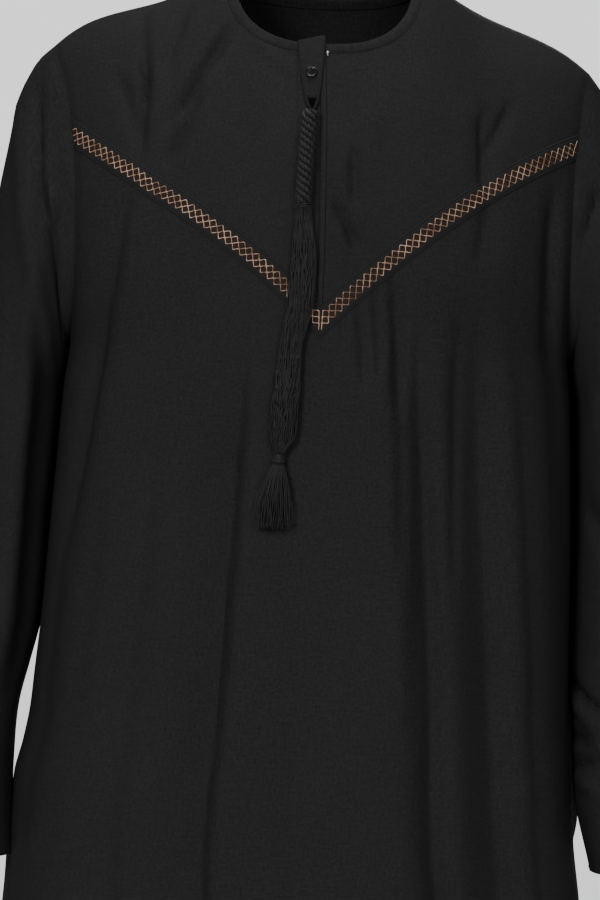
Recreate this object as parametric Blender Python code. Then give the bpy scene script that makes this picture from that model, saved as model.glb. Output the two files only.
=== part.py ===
"""A collarless, ankle-length thobe with a chevron band, a buttoned tab and a long tassel.

It is hollow, in the form it keeps when worn with the arms hanging. Metres, +Z up. The front
faces -Y and +X is the wearer's left. The origin is the middle of the neck opening, level
with the highest points of the shoulder seams.
"""
import math
from collections import namedtuple

import bpy
from mathutils import Vector

# Cloth
WALL = 0.0016
GAP = 0.0003
STRIP = 0.0008

# Neck opening and shoulders
NECK_HALF = 0.0775
NECK_DROP = {-1: 0.0700, 1: 0.0150}
NECK_POWER = 2.6
BINDING_WIDTH = 0.0075
LOW_SHOULDER = 0.0110
ROLL_REACH = {-1: 0.26, 1: 0.20}
ROLL_POWER = {-1: 1.8, 1: 2.2}

# Armholes
UNDERARM_Z = -0.330
ARMHOLE_RATIO = {-1: 0.60, 1: 0.62}
ARMHOLE_RISE = 0.60

# Chevron band
BAND_TIP_Z = -0.3060
BAND_SLOPE = 1.0085
BAND_BEND = 1.25
BAND_END = 0.216
BAND_LEAN = {-1: 5.0, 1: 0.0}
BAND_HALF = 0.010
BAND_THICK = 0.0010

# Placket and tab
PLACKET_X = -0.0110
PLACKET_HALF = 0.0125
TAB_THICK = 0.0014
BUTTON_Z = -0.097
BUTTON_RADIUS = 0.005
BUTTON_THICK = 0.0022
BUTTON_SIDES = 16
SNAP_Z = -0.0785
SNAP_RADIUS = 0.0022
SNAP_THICK = 0.0010
SNAP_SIDES = 10

# Tassel
HEAD_RADIUS = 0.0054
HEAD_RIDGE = 0.0019
HEAD_STARTS = 4
HEAD_TURNS = 3.5
HEAD_TOP_Z = -0.1290
HEAD_END_Z = -0.209
HEAD_STEPS = 44
HEAD_SIDES = 4 * HEAD_STARTS
COLLAR_SHARE = 0.05
COLLAR_RADIUS = 0.0050
BUNDLE_END_Z = -0.417
BUNDLE_FLUTES = 7
BUNDLE_STEPS = 16
FLUTE_RATIO = 0.86
KNOT_END_Z = -0.424
SKIRT_END_Z = -0.476
SKIRT_STRANDS = 38
SKIRT_RINGS = 4
STRAND_BEND = 0.4
STRAND_UNEVEN = 0.004
TASSEL_CLEAR = 0.0003

HEM_Z = -1.480
COLUMNS = {-1: 48, 1: 32}
SIDES = (-1, 1)
FRONT = -1
BACK = 1

# Half width to the armhole or side seam, sideways sway, depths, squareness of the section
Section = namedtuple("Section", "z half sway front back power")
SECTIONS = (
    Section(0.000, 0.2340, -0.0020, 0.118, 0.098, 2.60),
    Section(-0.069, 0.2330, 0.0005, 0.121, 0.108, 2.60),
    Section(-0.100, 0.2240, 0.0020, 0.124, 0.113, 2.60),
    Section(-0.130, 0.2185, 0.0035, 0.127, 0.117, 2.60),
    Section(-0.160, 0.2145, 0.0043, 0.129, 0.119, 2.60),
    Section(-0.200, 0.2120, 0.0050, 0.131, 0.121, 2.60),
    Section(-0.250, 0.2110, 0.0055, 0.133, 0.121, 2.60),
    Section(-0.300, 0.2125, 0.0053, 0.135, 0.119, 2.55),
    Section(-0.330, 0.2155, 0.0050, 0.136, 0.117, 2.50),
    Section(-0.360, 0.2190, 0.0047, 0.137, 0.115, 2.50),
    Section(-0.420, 0.2225, 0.0043, 0.137, 0.113, 2.45),
    Section(-0.500, 0.2265, 0.0030, 0.138, 0.114, 2.40),
    Section(-0.565, 0.2290, 0.0015, 0.140, 0.120, 2.40),
    Section(-0.610, 0.2315, 0.0000, 0.142, 0.126, 2.40),
    Section(-0.640, 0.2330, -0.0010, 0.144, 0.130, 2.40),
    Section(-0.670, 0.2372, -0.0020, 0.146, 0.133, 2.38),
    Section(-0.700, 0.2420, -0.0042, 0.148, 0.136, 2.36),
    Section(-0.740, 0.2447, -0.0043, 0.150, 0.138, 2.35),
    Section(-0.800, 0.2499, -0.0019, 0.153, 0.141, 2.35),
    Section(-1.000, 0.2650, -0.0010, 0.165, 0.154, 2.30),
    Section(-1.200, 0.2800, 0.0000, 0.176, 0.167, 2.25),
    Section(HEM_Z, 0.3000, 0.0000, 0.190, 0.182, 2.20),
)

# The shoulder line: how high the seam runs at each distance from the middle
Shoulder = namedtuple("Shoulder", "z reach")
SHOULDER = (
    Shoulder(0.012, 0.0000),
    Shoulder(0.000, 0.0775),
    Shoulder(-0.025, 0.1380),
    Shoulder(-0.045, 0.1990),
    Shoulder(-0.069, 0.2330),
    Shoulder(-0.110, 0.2600),
)

# Hanging folds: a valley from one point to the other, on to the hem; a ridge has minus depth
Fold = namedtuple("Fold", "top_x top_z low_x low_z left right depth hem_depth")
FOLDS = {
    FRONT: (
        Fold(-0.0620, -0.330, -0.0760, -0.789, 0.030, 0.010, 0.0100, 0.0200),
        Fold(0.0640, -0.320, 0.1100, -0.783, 0.008, 0.016, 0.0130, 0.0220),
        Fold(0.1130, -0.240, 0.1390, -0.700, 0.014, 0.022, 0.0090, 0.0180),
        Fold(-0.1330, -0.360, -0.1500, -0.676, 0.020, 0.018, 0.0050, 0.0160),
        Fold(0.0000, -0.520, 0.0020, -0.787, 0.014, 0.012, 0.0030, 0.0160),
        Fold(0.1870, -0.250, 0.2080, -0.500, 0.010, 0.008, 0.0080, 0.0100),
        Fold(-0.1900, -0.330, -0.2020, -0.545, 0.008, 0.014, 0.0060, 0.0100),
        Fold(0.0500, -0.740, 0.0560, -1.000, 0.014, 0.018, 0.0060, 0.0170),
        Fold(-0.0380, -0.820, -0.0400, -1.100, 0.014, 0.012, 0.0040, 0.0110),
    ),
    BACK: (
        Fold(-0.0400, -0.200, -0.0600, -0.760, 0.020, 0.014, 0.0080, 0.0200),
        Fold(0.0500, -0.230, 0.0640, -0.780, 0.014, 0.022, 0.0090, 0.0200),
        Fold(-0.1150, -0.250, -0.1400, -0.740, 0.022, 0.014, 0.0100, 0.0200),
        Fold(0.1230, -0.240, 0.1460, -0.760, 0.014, 0.020, 0.0100, 0.0200),
        Fold(0.0040, -0.420, 0.0020, -0.800, 0.016, 0.016, 0.0050, 0.0170),
        Fold(-0.1850, -0.300, -0.2050, -0.640, 0.012, 0.010, 0.0070, 0.0110),
        Fold(0.1880, -0.320, 0.2060, -0.620, 0.010, 0.012, 0.0070, 0.0110),
    ),
}
FOLD_ONSET = 0.160
FOLD_EDGE = 0.14
HEM_WIDENING = 1.5

# Sleeves: each ring's inner and outer points, the middle and half of its depth, and how
# far it has turned from the armhole's outline (0) into an oval (1)
Ring = namedtuple("Ring", "in_x in_z out_x out_z mid_y half_y oval")
SLEEVES = {
    -1: (
        Ring(0.2144, -0.334, 0.2465, -0.084, 0.005, 0.072, 0.15),
        Ring(0.2142, -0.341, 0.2600, -0.117, 0.006, 0.073, 0.40),
        Ring(0.2154, -0.349, 0.2715, -0.172, 0.007, 0.073, 0.70),
        Ring(0.2165, -0.357, 0.2825, -0.240, 0.008, 0.071, 0.90),
        Ring(0.2177, -0.367, 0.2935, -0.320, 0.010, 0.069, 1.00),
        Ring(0.2197, -0.400, 0.3025, -0.392, 0.012, 0.067, 1.00),
        Ring(0.2232, -0.450, 0.3090, -0.455, 0.015, 0.066, 1.00),
        Ring(0.2269, -0.520, 0.3165, -0.527, 0.015, 0.064, 1.00),
        Ring(0.2294, -0.565, 0.3205, -0.577, 0.010, 0.062, 1.00),
        Ring(0.2365, -0.603, 0.3240, -0.618, 0.002, 0.060, 1.00),
        Ring(0.2440, -0.640, 0.3270, -0.656, -0.009, 0.058, 1.00),
        Ring(0.2485, -0.690, 0.3305, -0.704, -0.021, 0.055, 1.00),
        Ring(0.2515, -0.766, 0.3340, -0.772, -0.036, 0.051, 1.00),
    ),
    1: (
        Ring(0.2258, -0.334, 0.2425, -0.094, 0.005, 0.072, 0.15),
        Ring(0.2254, -0.341, 0.2585, -0.124, 0.006, 0.073, 0.40),
        Ring(0.2262, -0.349, 0.2740, -0.176, 0.007, 0.073, 0.70),
        Ring(0.2269, -0.357, 0.2880, -0.245, 0.008, 0.071, 0.90),
        Ring(0.2277, -0.367, 0.2995, -0.325, 0.010, 0.069, 1.00),
        Ring(0.2290, -0.400, 0.3090, -0.396, 0.012, 0.067, 1.00),
        Ring(0.2307, -0.450, 0.3160, -0.460, 0.014, 0.066, 1.00),
        Ring(0.2322, -0.520, 0.3225, -0.530, 0.010, 0.064, 1.00),
        Ring(0.2332, -0.575, 0.3265, -0.585, 0.002, 0.062, 1.00),
        Ring(0.2344, -0.620, 0.3290, -0.632, -0.008, 0.060, 1.00),
        Ring(0.2365, -0.660, 0.3315, -0.672, -0.020, 0.058, 1.00),
        Ring(0.2387, -0.700, 0.3340, -0.712, -0.031, 0.055, 1.00),
        Ring(0.2525, -0.763, 0.3375, -0.768, -0.045, 0.051, 1.00),
    ),
}

# Sleeve creases: from one angle and height to another; 0 is the inner line, 90 the front
Crease = namedtuple("Crease", "angle_a z_a angle_b z_b width depth")
SLEEVE_CREASES = (
    Crease(128, -0.110, 96, -0.300, 0.009, 0.0045),
    Crease(60, -0.350, 110, -0.440, 0.010, 0.0050),
    Crease(40, -0.430, 100, -0.520, 0.011, 0.0055),
    Crease(60, -0.560, 150, -0.500, 0.010, 0.0045),
    Crease(200, -0.470, 300, -0.440, 0.011, 0.0050),
    Crease(240, -0.560, 330, -0.520, 0.010, 0.0045),
    Crease(70, -0.690, 120, -0.640, 0.009, 0.0030),
    Crease(230, -0.160, 262, -0.320, 0.010, 0.0045),
)
SLEEVE_RADIUS = 0.060
CREASE_ENDS = 0.12
CREASE_FREE_RINGS = 2

# Rings after which the sleeve has one more, on a smooth curve
EXTRA_RINGS = (5, 8, 13)

# Tab: half widths down its length; its top stands above the neckline
Taper = namedtuple("Taper", "z half")
TAB = (
    Taper(-0.064, 0.0121),
    Taper(-0.080, 0.0110),
    Taper(-0.097, 0.0096),
    Taper(-0.116, 0.0066),
    Taper(-0.126, 0.0042),
    Taper(-0.1305, 0.0016),
)
TAB_LIFT = 0.0060
TIP_START_Z = -0.112
TIP_STAND = 0.0032

# Tassel: where its middle hangs, and its half width and half depth
Hang = namedtuple("Hang", "z x half deep")
TASSEL = (
    Hang(-0.129, -0.0095, 0.0062, 0.0062),
    Hang(-0.209, -0.0122, 0.0066, 0.0066),
    Hang(-0.216, -0.0120, 0.0075, 0.0050),
    Hang(-0.250, -0.0105, 0.0100, 0.0050),
    Hang(-0.288, -0.0120, 0.0112, 0.0052),
    Hang(-0.330, -0.0183, 0.0098, 0.0052),
    Hang(-0.371, -0.0214, 0.0115, 0.0056),
    Hang(-0.402, -0.0226, 0.0108, 0.0058),
    Hang(-0.417, -0.0248, 0.0042, 0.0040),
    Hang(-0.424, -0.0255, 0.0050, 0.0046),
    Hang(-0.440, -0.0265, 0.0105, 0.0062),
    Hang(-0.476, -0.0290, 0.0160, 0.0085),
)


def clamp(value, low=0.0, high=1.0):
    return max(low, min(high, value))


def mix(a, b, share):
    return a + (b - a) * share


def ease(share):
    """A smooth step from 0 to 1."""
    share = clamp(share)
    return share * share * (3 - 2 * share)


def read(table, field, z):
    """One column of a table at height z, on a curve that never overshoots its rows."""
    heights = [row.z for row in table]
    values = [getattr(row, field) for row in table]
    if z >= heights[0]:
        return values[0]
    if z <= heights[-1]:
        return values[-1]
    low = next(i for i in range(1, len(heights)) if heights[i] <= z)
    high = low - 1

    def secant(i):
        return (values[i + 1] - values[i]) / (heights[i + 1] - heights[i])

    def slope(i):
        if i == 0 or i == len(heights) - 1:
            return secant(min(i, len(heights) - 2))
        before, after = secant(i - 1), secant(i)
        if before * after <= 0:
            return 0.0
        return 2 * before * after / (before + after)

    span = heights[low] - heights[high]
    t = (z - heights[high]) / span
    return (
        values[high] * (1 + 2 * t) * (1 - t) ** 2
        + slope(high) * span * t * (1 - t) ** 2
        + values[low] * t * t * (3 - 2 * t)
        + slope(low) * span * t * t * (t - 1)
    )


def shoulder_z(side, reach):
    """Height of the shoulder line at a distance from the middle; one shoulder hangs lower."""
    rows = [Shoulder(-row.reach, row.z) for row in SHOULDER]
    height = read(rows, "reach", -reach)
    if side > 0:
        height -= LOW_SHOULDER * ease((reach - NECK_HALF) / (SHOULDER[4].reach - NECK_HALF))
    return height


def shoulder_tip(side):
    """Where the shoulder seam meets the armhole."""
    reach = SHOULDER[4].reach
    for _ in range(8):
        reach = read(SECTIONS, "half", shoulder_z(side, reach))
    return reach, shoulder_z(side, reach)


def band_z(side, x):
    """Height of the chevron band's middle line; one leg sags below the curve."""
    lean = BAND_LEAN[side] * x * x * (x - BAND_END)
    return BAND_TIP_Z + BAND_SLOPE * x - BAND_BEND * x * x + lean


def band_rise(side, x, edge):
    """How far an edge of the band (-1 lower, 0, 1 upper) is above its middle line."""
    lean = BAND_LEAN[side] * (3 * x * x - 2 * x * BAND_END)
    return edge * BAND_HALF * math.hypot(1, BAND_SLOPE - 2 * BAND_BEND * x + lean)


def band_end(side, edge):
    """Where an edge of the band meets the armhole."""
    reach = BAND_END
    for _ in range(8):
        reach = read(SECTIONS, "half", band_z(side, reach) + band_rise(side, reach, edge))
    return reach, band_z(side, reach) + band_rise(side, reach, edge)


def depth(face, side, x, z):
    """How far the cloth stands in front of or behind the plane of the seams."""
    full = read(SECTIONS, "front" if face < 0 else "back", z)
    power = read(SECTIONS, "power", z)
    drop = max(shoulder_z(side, x) - z, 0.0)
    roll = 1 - max(1 - drop / ROLL_REACH[face], 0.0) ** ROLL_POWER[face]
    full *= roll ** (1 / ROLL_POWER[face])
    half = read(SECTIONS, "half", z)
    if z > UNDERARM_Z:
        rise = (z - UNDERARM_Z) / (shoulder_tip(side)[1] - UNDERARM_Z)
        lag = 1 - clamp(rise / ARMHOLE_RISE)
        ratio = ARMHOLE_RATIO[face] * math.sqrt(1 - lag * lag)
        half /= (1 - ratio ** power) ** (1 / power)
    share = clamp(x / half)
    return full * (1 - share ** power) ** (1 / power)


def spread(curve, count, samples=240):
    """Points at equal distances along a curve whose parameter runs from 0 to 1."""
    dense = [curve(i / samples) for i in range(samples + 1)]
    lengths = [0.0]
    for before, after in zip(dense, dense[1:]):
        lengths.append(lengths[-1] + (after - before).length)
    points = [dense[0].copy()]
    index = 0
    for step in range(1, count):
        target = lengths[-1] * step / count
        while lengths[index + 1] < target:
            index += 1
        share = (target - lengths[index]) / (lengths[index + 1] - lengths[index])
        points.append(dense[index].lerp(dense[index + 1], share))
    points.append(dense[-1].copy())
    return points


# Rows of the front and back: each ends on the shoulder seam, the armhole or the side seam
SHOULDER_ROWS = 6
UPPER_ROWS = 4
LOWER_ROWS = {FRONT: 7, BACK: 10}
SIDE_LEVELS = (-0.375, -0.425, -0.480, -0.535, -0.590, -0.645, -0.705, -0.780,
               -0.900, -1.060, -1.250, HEM_Z)
UNDERARM_SAG = 0.080
SAG_END_Z = -0.780


def shoulder_edges(side):
    tip, _ = shoulder_tip(side)
    reaches = [NECK_HALF, NECK_HALF + BINDING_WIDTH]
    for step in range(1, SHOULDER_ROWS + 1):
        reaches.append(mix(reaches[1], tip, step / SHOULDER_ROWS))
    return [(reach, shoulder_z(side, reach)) for reach in reaches]


def armhole_edges(face, side, top_z, count):
    """Where rows end on the armhole from a height down to the underarm."""

    def curve(share):
        z = mix(top_z, UNDERARM_Z, share)
        x = read(SECTIONS, "half", z)
        return Vector((x, face * depth(face, side, x, z), z))

    return [(point.x, point.z) for point in spread(curve, count)[1:]]


def row_edges(face, side):
    edges = shoulder_edges(side)
    tip_z = edges[-1][1]
    if face == FRONT:
        upper = band_end(side, 1)
        for step in range(1, UPPER_ROWS):
            z = mix(tip_z, upper[1], step / UPPER_ROWS)
            edges.append((read(SECTIONS, "half", z), z))
        edges += [upper, band_end(side, -1)]
    edges += armhole_edges(face, side, edges[-1][1], LOWER_ROWS[face])
    edges += [(read(SECTIONS, "half", z), z) for z in SIDE_LEVELS]
    return edges


def sag(z):
    """How much lower than its ends the middle of a row lies, below the underarm."""
    return UNDERARM_SAG * clamp((z - SAG_END_Z) / (UNDERARM_Z - SAG_END_Z))


def row_middles(face):
    """Heights of the rows on the middle line."""
    middles = [-NECK_DROP[face], -NECK_DROP[face] - BINDING_WIDTH]
    if face == FRONT:
        steps = SHOULDER_ROWS + UPPER_ROWS
        target = BAND_TIP_Z + band_rise(1, 0, 1)
        middles += [mix(middles[1], target, i / steps) for i in range(1, steps + 1)]
        middles.append(BAND_TIP_Z + band_rise(1, 0, -1))
        steps = LOWER_ROWS[face]
    else:
        steps = SHOULDER_ROWS + LOWER_ROWS[face]
    start = middles[-1]
    target = UNDERARM_Z - sag(UNDERARM_Z)
    middles += [mix(start, target, i / steps) for i in range(1, steps + 1)]
    middles += [z - sag(z) for z in SIDE_LEVELS]
    return middles


def row_shapes(face):
    """How much each row follows the neckline's scoop, the band's chevron and a bowl."""
    scoops = [1.0] + [1 - i / SHOULDER_ROWS for i in range(SHOULDER_ROWS + 1)]
    if face == BACK:
        shapes = [(scoop, 0.0, 1 - scoop) for scoop in scoops]
        shapes += [(0.0, 0.0, 1.0)] * (LOWER_ROWS[BACK] + len(SIDE_LEVELS))
        return shapes
    shapes = [(scoop, 1 - scoop, 0.0) for scoop in scoops]
    shapes += [(0.0, 1.0, 0.0)] * (UPPER_ROWS + 1)
    steps = LOWER_ROWS[FRONT]
    shapes += [(0.0, 1 - i / steps, i / steps) for i in range(1, steps + 1)]
    return shapes + [(0.0, 0.0, 1.0)] * len(SIDE_LEVELS)


def row_rise(shape, side, share, reach):
    """Climb of a row from its middle (0) to its end (1), at a share of its half width."""
    scoop = 1 - (1 - share ** NECK_POWER) ** (1 / NECK_POWER)
    x = share * reach
    chevron = (band_z(side, x) - BAND_TIP_Z) / (band_z(side, reach) - BAND_TIP_Z)
    return shape[0] * scoop + shape[1] * chevron + shape[2] * share * share


def base_grid(face):
    """The smooth surface of the front or back, as rows of points from -X to +X."""
    half_columns = COLUMNS[face] // 2
    middles = row_middles(face)
    shapes = row_shapes(face)
    halves = {}
    for side in SIDES:
        edges = row_edges(face, side)
        halves[side] = []
        for (reach, edge_z), middle_z, shape in zip(edges, middles, shapes):

            def curve(share):
                across = math.sin(share * math.pi / 2)
                x = across * reach
                z = mix(middle_z, edge_z, row_rise(shape, side, across, reach))
                y = face * (depth(face, side, x, z) + GAP / 2)
                return Vector((side * x, y, z))

            halves[side].append(spread(curve, half_columns))
    return [left[:0:-1] + right for left, right in zip(halves[-1], halves[1])]


def fold_depth(face, x, z):
    """How far the hanging folds press the cloth in at a point."""
    total = 0.0
    for fold in FOLDS[face]:
        down = (z - fold.top_z) / (fold.low_z - fold.top_z)
        if down <= 0:
            continue
        lowered = clamp((fold.low_z - z) / (fold.low_z - HEM_Z))
        if z > fold.low_z:
            middle = mix(fold.top_x, fold.low_x, down)
        else:
            middle = fold.low_x * read(SECTIONS, "half", z) / read(SECTIONS, "half", fold.low_z)
        width = fold.left if x < middle else fold.right
        width *= mix(1.0, HEM_WIDENING, lowered)
        strength = ease((fold.top_z - z) / FOLD_ONSET)
        strength *= mix(fold.depth, fold.hem_depth, lowered)
        total += strength * math.exp(-(((x - middle) / width) ** 2))
    side_share = (1 - abs(x) / read(SECTIONS, "half", z)) / FOLD_EDGE
    return total * ease(side_share)


def grid_normals(grid, closed=False):
    """Unit normals of a grid of points, from its neighbours."""
    rows = len(grid)
    columns = len(grid[0])
    normals = []
    for r in range(rows):
        line = []
        for c in range(columns):
            if closed:
                across = grid[r][(c + 1) % columns] - grid[r][c - 1]
            else:
                across = grid[r][min(c + 1, columns - 1)] - grid[r][max(c - 1, 0)]
            down = grid[min(r + 1, rows - 1)][c] - grid[max(r - 1, 0)][c]
            line.append(across.cross(down).normalized())
        normals.append(line)
    return normals


def panel_grid(face):
    """Points and outward normals of the front or back, folds pressed in."""
    grid = base_grid(face)
    normals = grid_normals(grid)
    for row, normal_row in zip(grid, normals):
        for point, normal in zip(row, normal_row):
            point -= normal * face * fold_depth(face, point.x, point.z)
    normals = [[normal * face for normal in row] for row in grid_normals(grid)]
    for row in normals:
        for column in (0, -1):
            row[column].y = 0.0
            row[column].normalize()
    return grid, normals


def swayed(grid):
    """Moves a grid sideways by the sway of its heights."""
    for row in grid:
        for point in row:
            point.x += read(SECTIONS, "sway", point.z)


def armhole_rows(face):
    """First and last row that end on the armhole."""
    first = 1 + SHOULDER_ROWS
    last = first + LOWER_ROWS[face] + (UPPER_ROWS + 1 if face == FRONT else 0)
    return first, last


def armhole_ring(side):
    """Grid places round an armhole, from the underarm up the front and down the back."""
    column = 0 if side < 0 else -1
    first, last = armhole_rows(FRONT)
    places = [(FRONT, row, column) for row in range(last, first - 1, -1)]
    first, last = armhole_rows(BACK)
    places += [(BACK, row, column) for row in range(first + 1, last)]
    return places


def sleeve_grid(panels, side):
    """Rings of points of a sleeve, from the armhole to the cuff."""
    places = armhole_ring(side)
    seam = [panels[face][0][row][column].copy() for face, row, column in places]
    seam[0].y = 0.0
    top_index = armhole_rows(FRONT)[1] - armhole_rows(FRONT)[0]
    seam[top_index].y = 0.0
    count = len(seam)
    arcs = [0.0]
    for index in range(count):
        arcs.append(arcs[-1] + (seam[(index + 1) % count] - seam[index]).length)
    inner, outer = seam[0], seam[top_index]
    angles = []
    for index in range(count):
        if index <= top_index:
            angles.append(math.pi * arcs[index] / arcs[top_index])
        else:
            share = (arcs[index] - arcs[top_index]) / (arcs[count] - arcs[top_index])
            angles.append(math.pi * (1 + share))
    rings = [seam]
    for ring in SLEEVES[side]:
        start = Vector((side * ring.in_x, 0.0, ring.in_z))
        end = Vector((side * ring.out_x, 0.0, ring.out_z))
        points = []
        for point, angle in zip(seam, angles):
            height = (point.z - inner.z) / (outer.z - inner.z)
            bow = point.x - mix(inner.x, outer.x, height)
            along = mix(height, (1 - math.cos(angle)) / 2, ring.oval)
            y = mix(point.y, ring.mid_y - ring.half_y * math.sin(angle), ring.oval)
            place = start.lerp(end, along)
            place.y = y
            place.x += bow * (1 - ring.oval)
            points.append(place)
        rings.append(points)
    return rings, angles


def crease_depth(angle, z):
    """How far the sleeve creases press in at an angle and height."""
    total = 0.0
    here = Vector((angle * SLEEVE_RADIUS, z))
    for crease in SLEEVE_CREASES:
        start = Vector((math.radians(crease.angle_a) * SLEEVE_RADIUS, crease.z_a))
        end = Vector((math.radians(crease.angle_b) * SLEEVE_RADIUS, crease.z_b))
        run = end - start
        share = clamp((here - start).dot(run) / run.length_squared)
        distance = (here - start - run * share).length
        fade = math.sin(math.pi * mix(CREASE_ENDS, 1 - CREASE_ENDS, share))
        total += crease.depth * fade * math.exp(-((distance / crease.width) ** 2))
    return total


def smooth_rings(rings):
    """Adds rings between the table's rings on a smooth curve, where they lie far apart."""
    result = [rings[0]]
    for index in range(1, len(rings)):
        before = rings[max(index - 2, 0)]
        start, end = rings[index - 1], rings[index]
        after = rings[min(index + 1, len(rings) - 1)]
        if index in EXTRA_RINGS:
            middle = [
                (b + c) * 9 / 16 - (a + d) / 16
                for a, b, c, d in zip(before, start, end, after)
            ]
            result.append(middle)
        result.append(end)
    return result


def shape_sleeve(panels, side):
    """Points and outward normals of a sleeve, its creases pressed in."""
    rings, angles = sleeve_grid(panels, side)
    rings = smooth_rings(rings)
    normals = grid_normals(rings, closed=True)
    for index, (ring, normal_ring) in enumerate(zip(rings, normals)):
        fade = ease(index / CREASE_FREE_RINGS)
        for point, normal, angle in zip(ring, normal_ring, angles):
            point += normal * side * crease_depth(angle, point.z) * fade
    normals = [[normal * -side for normal in row] for row in grid_normals(rings, closed=True)]
    return rings, normals


def join_seams(panels, sleeves):
    """Gives both sides of each armhole seam the same normals, and parts them by the gap."""
    for side in SIDES:
        rings, normals = sleeves[side]
        places = armhole_ring(side)
        count = len(places)
        top_index = armhole_rows(FRONT)[1] - armhole_rows(FRONT)[0]
        for index, (face, row, column) in enumerate(places):
            shared = (panels[face][1][row][column] + normals[0][index]).normalized()
            if index in (0, top_index):
                shared.y = 0.0
                shared.normalize()
                other = armhole_rows(BACK)[1 if index == 0 else 0]
                panels[BACK][1][other][column] = shared.copy()
            panels[face][1][row][column] = shared.copy()
            normals[0][index] = shared.copy()
        moved = []
        for index in range(count):
            tangent = rings[0][(index + 1) % count] - rings[0][index - 1]
            outward = tangent.cross(normals[0][index]).normalized()
            if outward.x * side < 0:
                outward = -outward
            moved.append(rings[0][index] + outward * GAP)
        rings[0] = moved


def cloth_material(name, colour, roughness, metallic=0.0):
    material = bpy.data.materials.new(name)
    material.use_nodes = True
    shader = material.node_tree.nodes["Principled BSDF"]
    shader.inputs["Base Color"].default_value = (*colour, 1.0)
    shader.inputs["Roughness"].default_value = roughness
    shader.inputs["Metallic"].default_value = metallic
    return material


def add_object(name, vertices, faces, material, crisp=35):
    mesh = bpy.data.meshes.new(name)
    mesh.from_pydata([tuple(vertex) for vertex in vertices], [], faces)
    mesh.materials.append(material)
    mesh.shade_smooth()
    mesh.set_sharp_from_angle(angle=math.radians(crisp))
    item = bpy.data.objects.new(name, mesh)
    bpy.context.scene.collection.objects.link(item)
    return item


def add_wall(name, grid, normals, thickness, material, closed=False, offset=0.0):
    """A closed wall: the grid moved out and in by half the thickness, its edges joined."""
    rows = len(grid)
    columns = len(grid[0])
    vertices = []
    for reach in (offset + thickness / 2, offset - thickness / 2):
        for row, normal_row in zip(grid, normals):
            vertices += [point + normal * reach for point, normal in zip(row, normal_row)]
    size = rows * columns
    steps = columns if closed else columns - 1

    def at(layer, r, c):
        return layer * size + r * columns + c % columns

    faces = []
    for r in range(rows - 1):
        for c in range(steps):
            faces.append((at(0, r, c), at(0, r + 1, c), at(0, r + 1, c + 1), at(0, r, c + 1)))
            faces.append((at(1, r, c), at(1, r, c + 1), at(1, r + 1, c + 1), at(1, r + 1, c)))
    for c in range(steps):
        faces.append((at(0, 0, c), at(0, 0, c + 1), at(1, 0, c + 1), at(1, 0, c)))
        last = rows - 1
        faces.append((at(0, last, c + 1), at(0, last, c), at(1, last, c), at(1, last, c + 1)))
    if not closed:
        for r in range(rows - 1):
            last = columns - 1
            faces.append((at(0, r + 1, 0), at(0, r, 0), at(1, r, 0), at(1, r + 1, 0)))
            faces.append((at(0, r, last), at(0, r + 1, last), at(1, r + 1, last), at(1, r, last)))
    a, b, c = (vertices[index] for index in faces[0][:3])
    if (b - a).cross(c - b).dot(normals[0][0]) < 0:
        faces = [tuple(reversed(face)) for face in faces]
    return add_object(name, vertices, faces, material)


def on_row(panel, row, x):
    """Point and normal on a row of a panel, at a distance from the middle line."""
    points, normals = panel[0][row], panel[1][row]
    sway = read(SECTIONS, "sway", points[len(points) // 2].z)
    for index in range(len(points) - 1):
        low = points[index].x - sway
        high = points[index + 1].x - sway
        if low <= x <= high:
            share = (x - low) / (high - low)
            normal = normals[index].lerp(normals[index + 1], share).normalized()
            return points[index].lerp(points[index + 1], share), normal
    raise ValueError("the row does not reach that far")


def on_panel(panel, x, z):
    """Point and normal on a panel at a distance from the middle line and a height."""
    last = 1 + SHOULDER_ROWS + UPPER_ROWS + 1 + LOWER_ROWS[FRONT] + len(SIDE_LEVELS)
    for row in range(last):
        high, high_normal = on_row(panel, row, x)
        low, low_normal = on_row(panel, row + 1, x)
        if low.z <= z:
            share = (z - high.z) / (low.z - high.z)
            return high.lerp(low, share), high_normal.lerp(low_normal, share).normalized()
    raise ValueError("the panel does not reach that low")


def add_panels(panels, sleeves, materials):
    add_wall("front", *panels[FRONT], WALL, materials["cloth"])
    add_wall("back", *panels[BACK], WALL, materials["cloth"])
    for side, name in ((-1, "sleeve_right"), (1, "sleeve_left")):
        add_wall(name, *sleeves[side], WALL, materials["cloth"], closed=True)


def strip_part(panel, first, last):
    """Rows of a panel, with their normals, as a strip of their own."""
    grid = [[point.copy() for point in row] for row in panel[0][first:last + 1]]
    normals = [[normal.copy() for normal in row] for row in panel[1][first:last + 1]]
    return grid, normals


def add_bindings(panels, materials):
    """The narrow strips round the neckline, on the front and on the back."""
    for face, name in ((FRONT, "neck_binding_front"), (BACK, "neck_binding_back")):
        grid, normals = strip_part(panels[face], 0, 1)
        offset = WALL / 2 + GAP + STRIP / 2
        add_wall(name, grid, normals, STRIP, materials["cloth"], offset=offset)


def band_row():
    """The row of the front that runs along the band's upper edge."""
    return 1 + SHOULDER_ROWS + UPPER_ROWS


def add_band(panels, materials):
    """The applied strip that carries the lattice embroidery, mitred at its tip."""
    grid, normals = strip_part(panels[FRONT], band_row(), band_row() + 1)
    for row in grid:
        row[0] += (row[1] - row[0]).normalized() * GAP
        row[-1] += (row[-2] - row[-1]).normalized() * GAP
    offset = WALL / 2 + GAP + BAND_THICK / 2
    add_wall("chevron_band", grid, normals, BAND_THICK, materials["band"], offset=offset)


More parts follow.
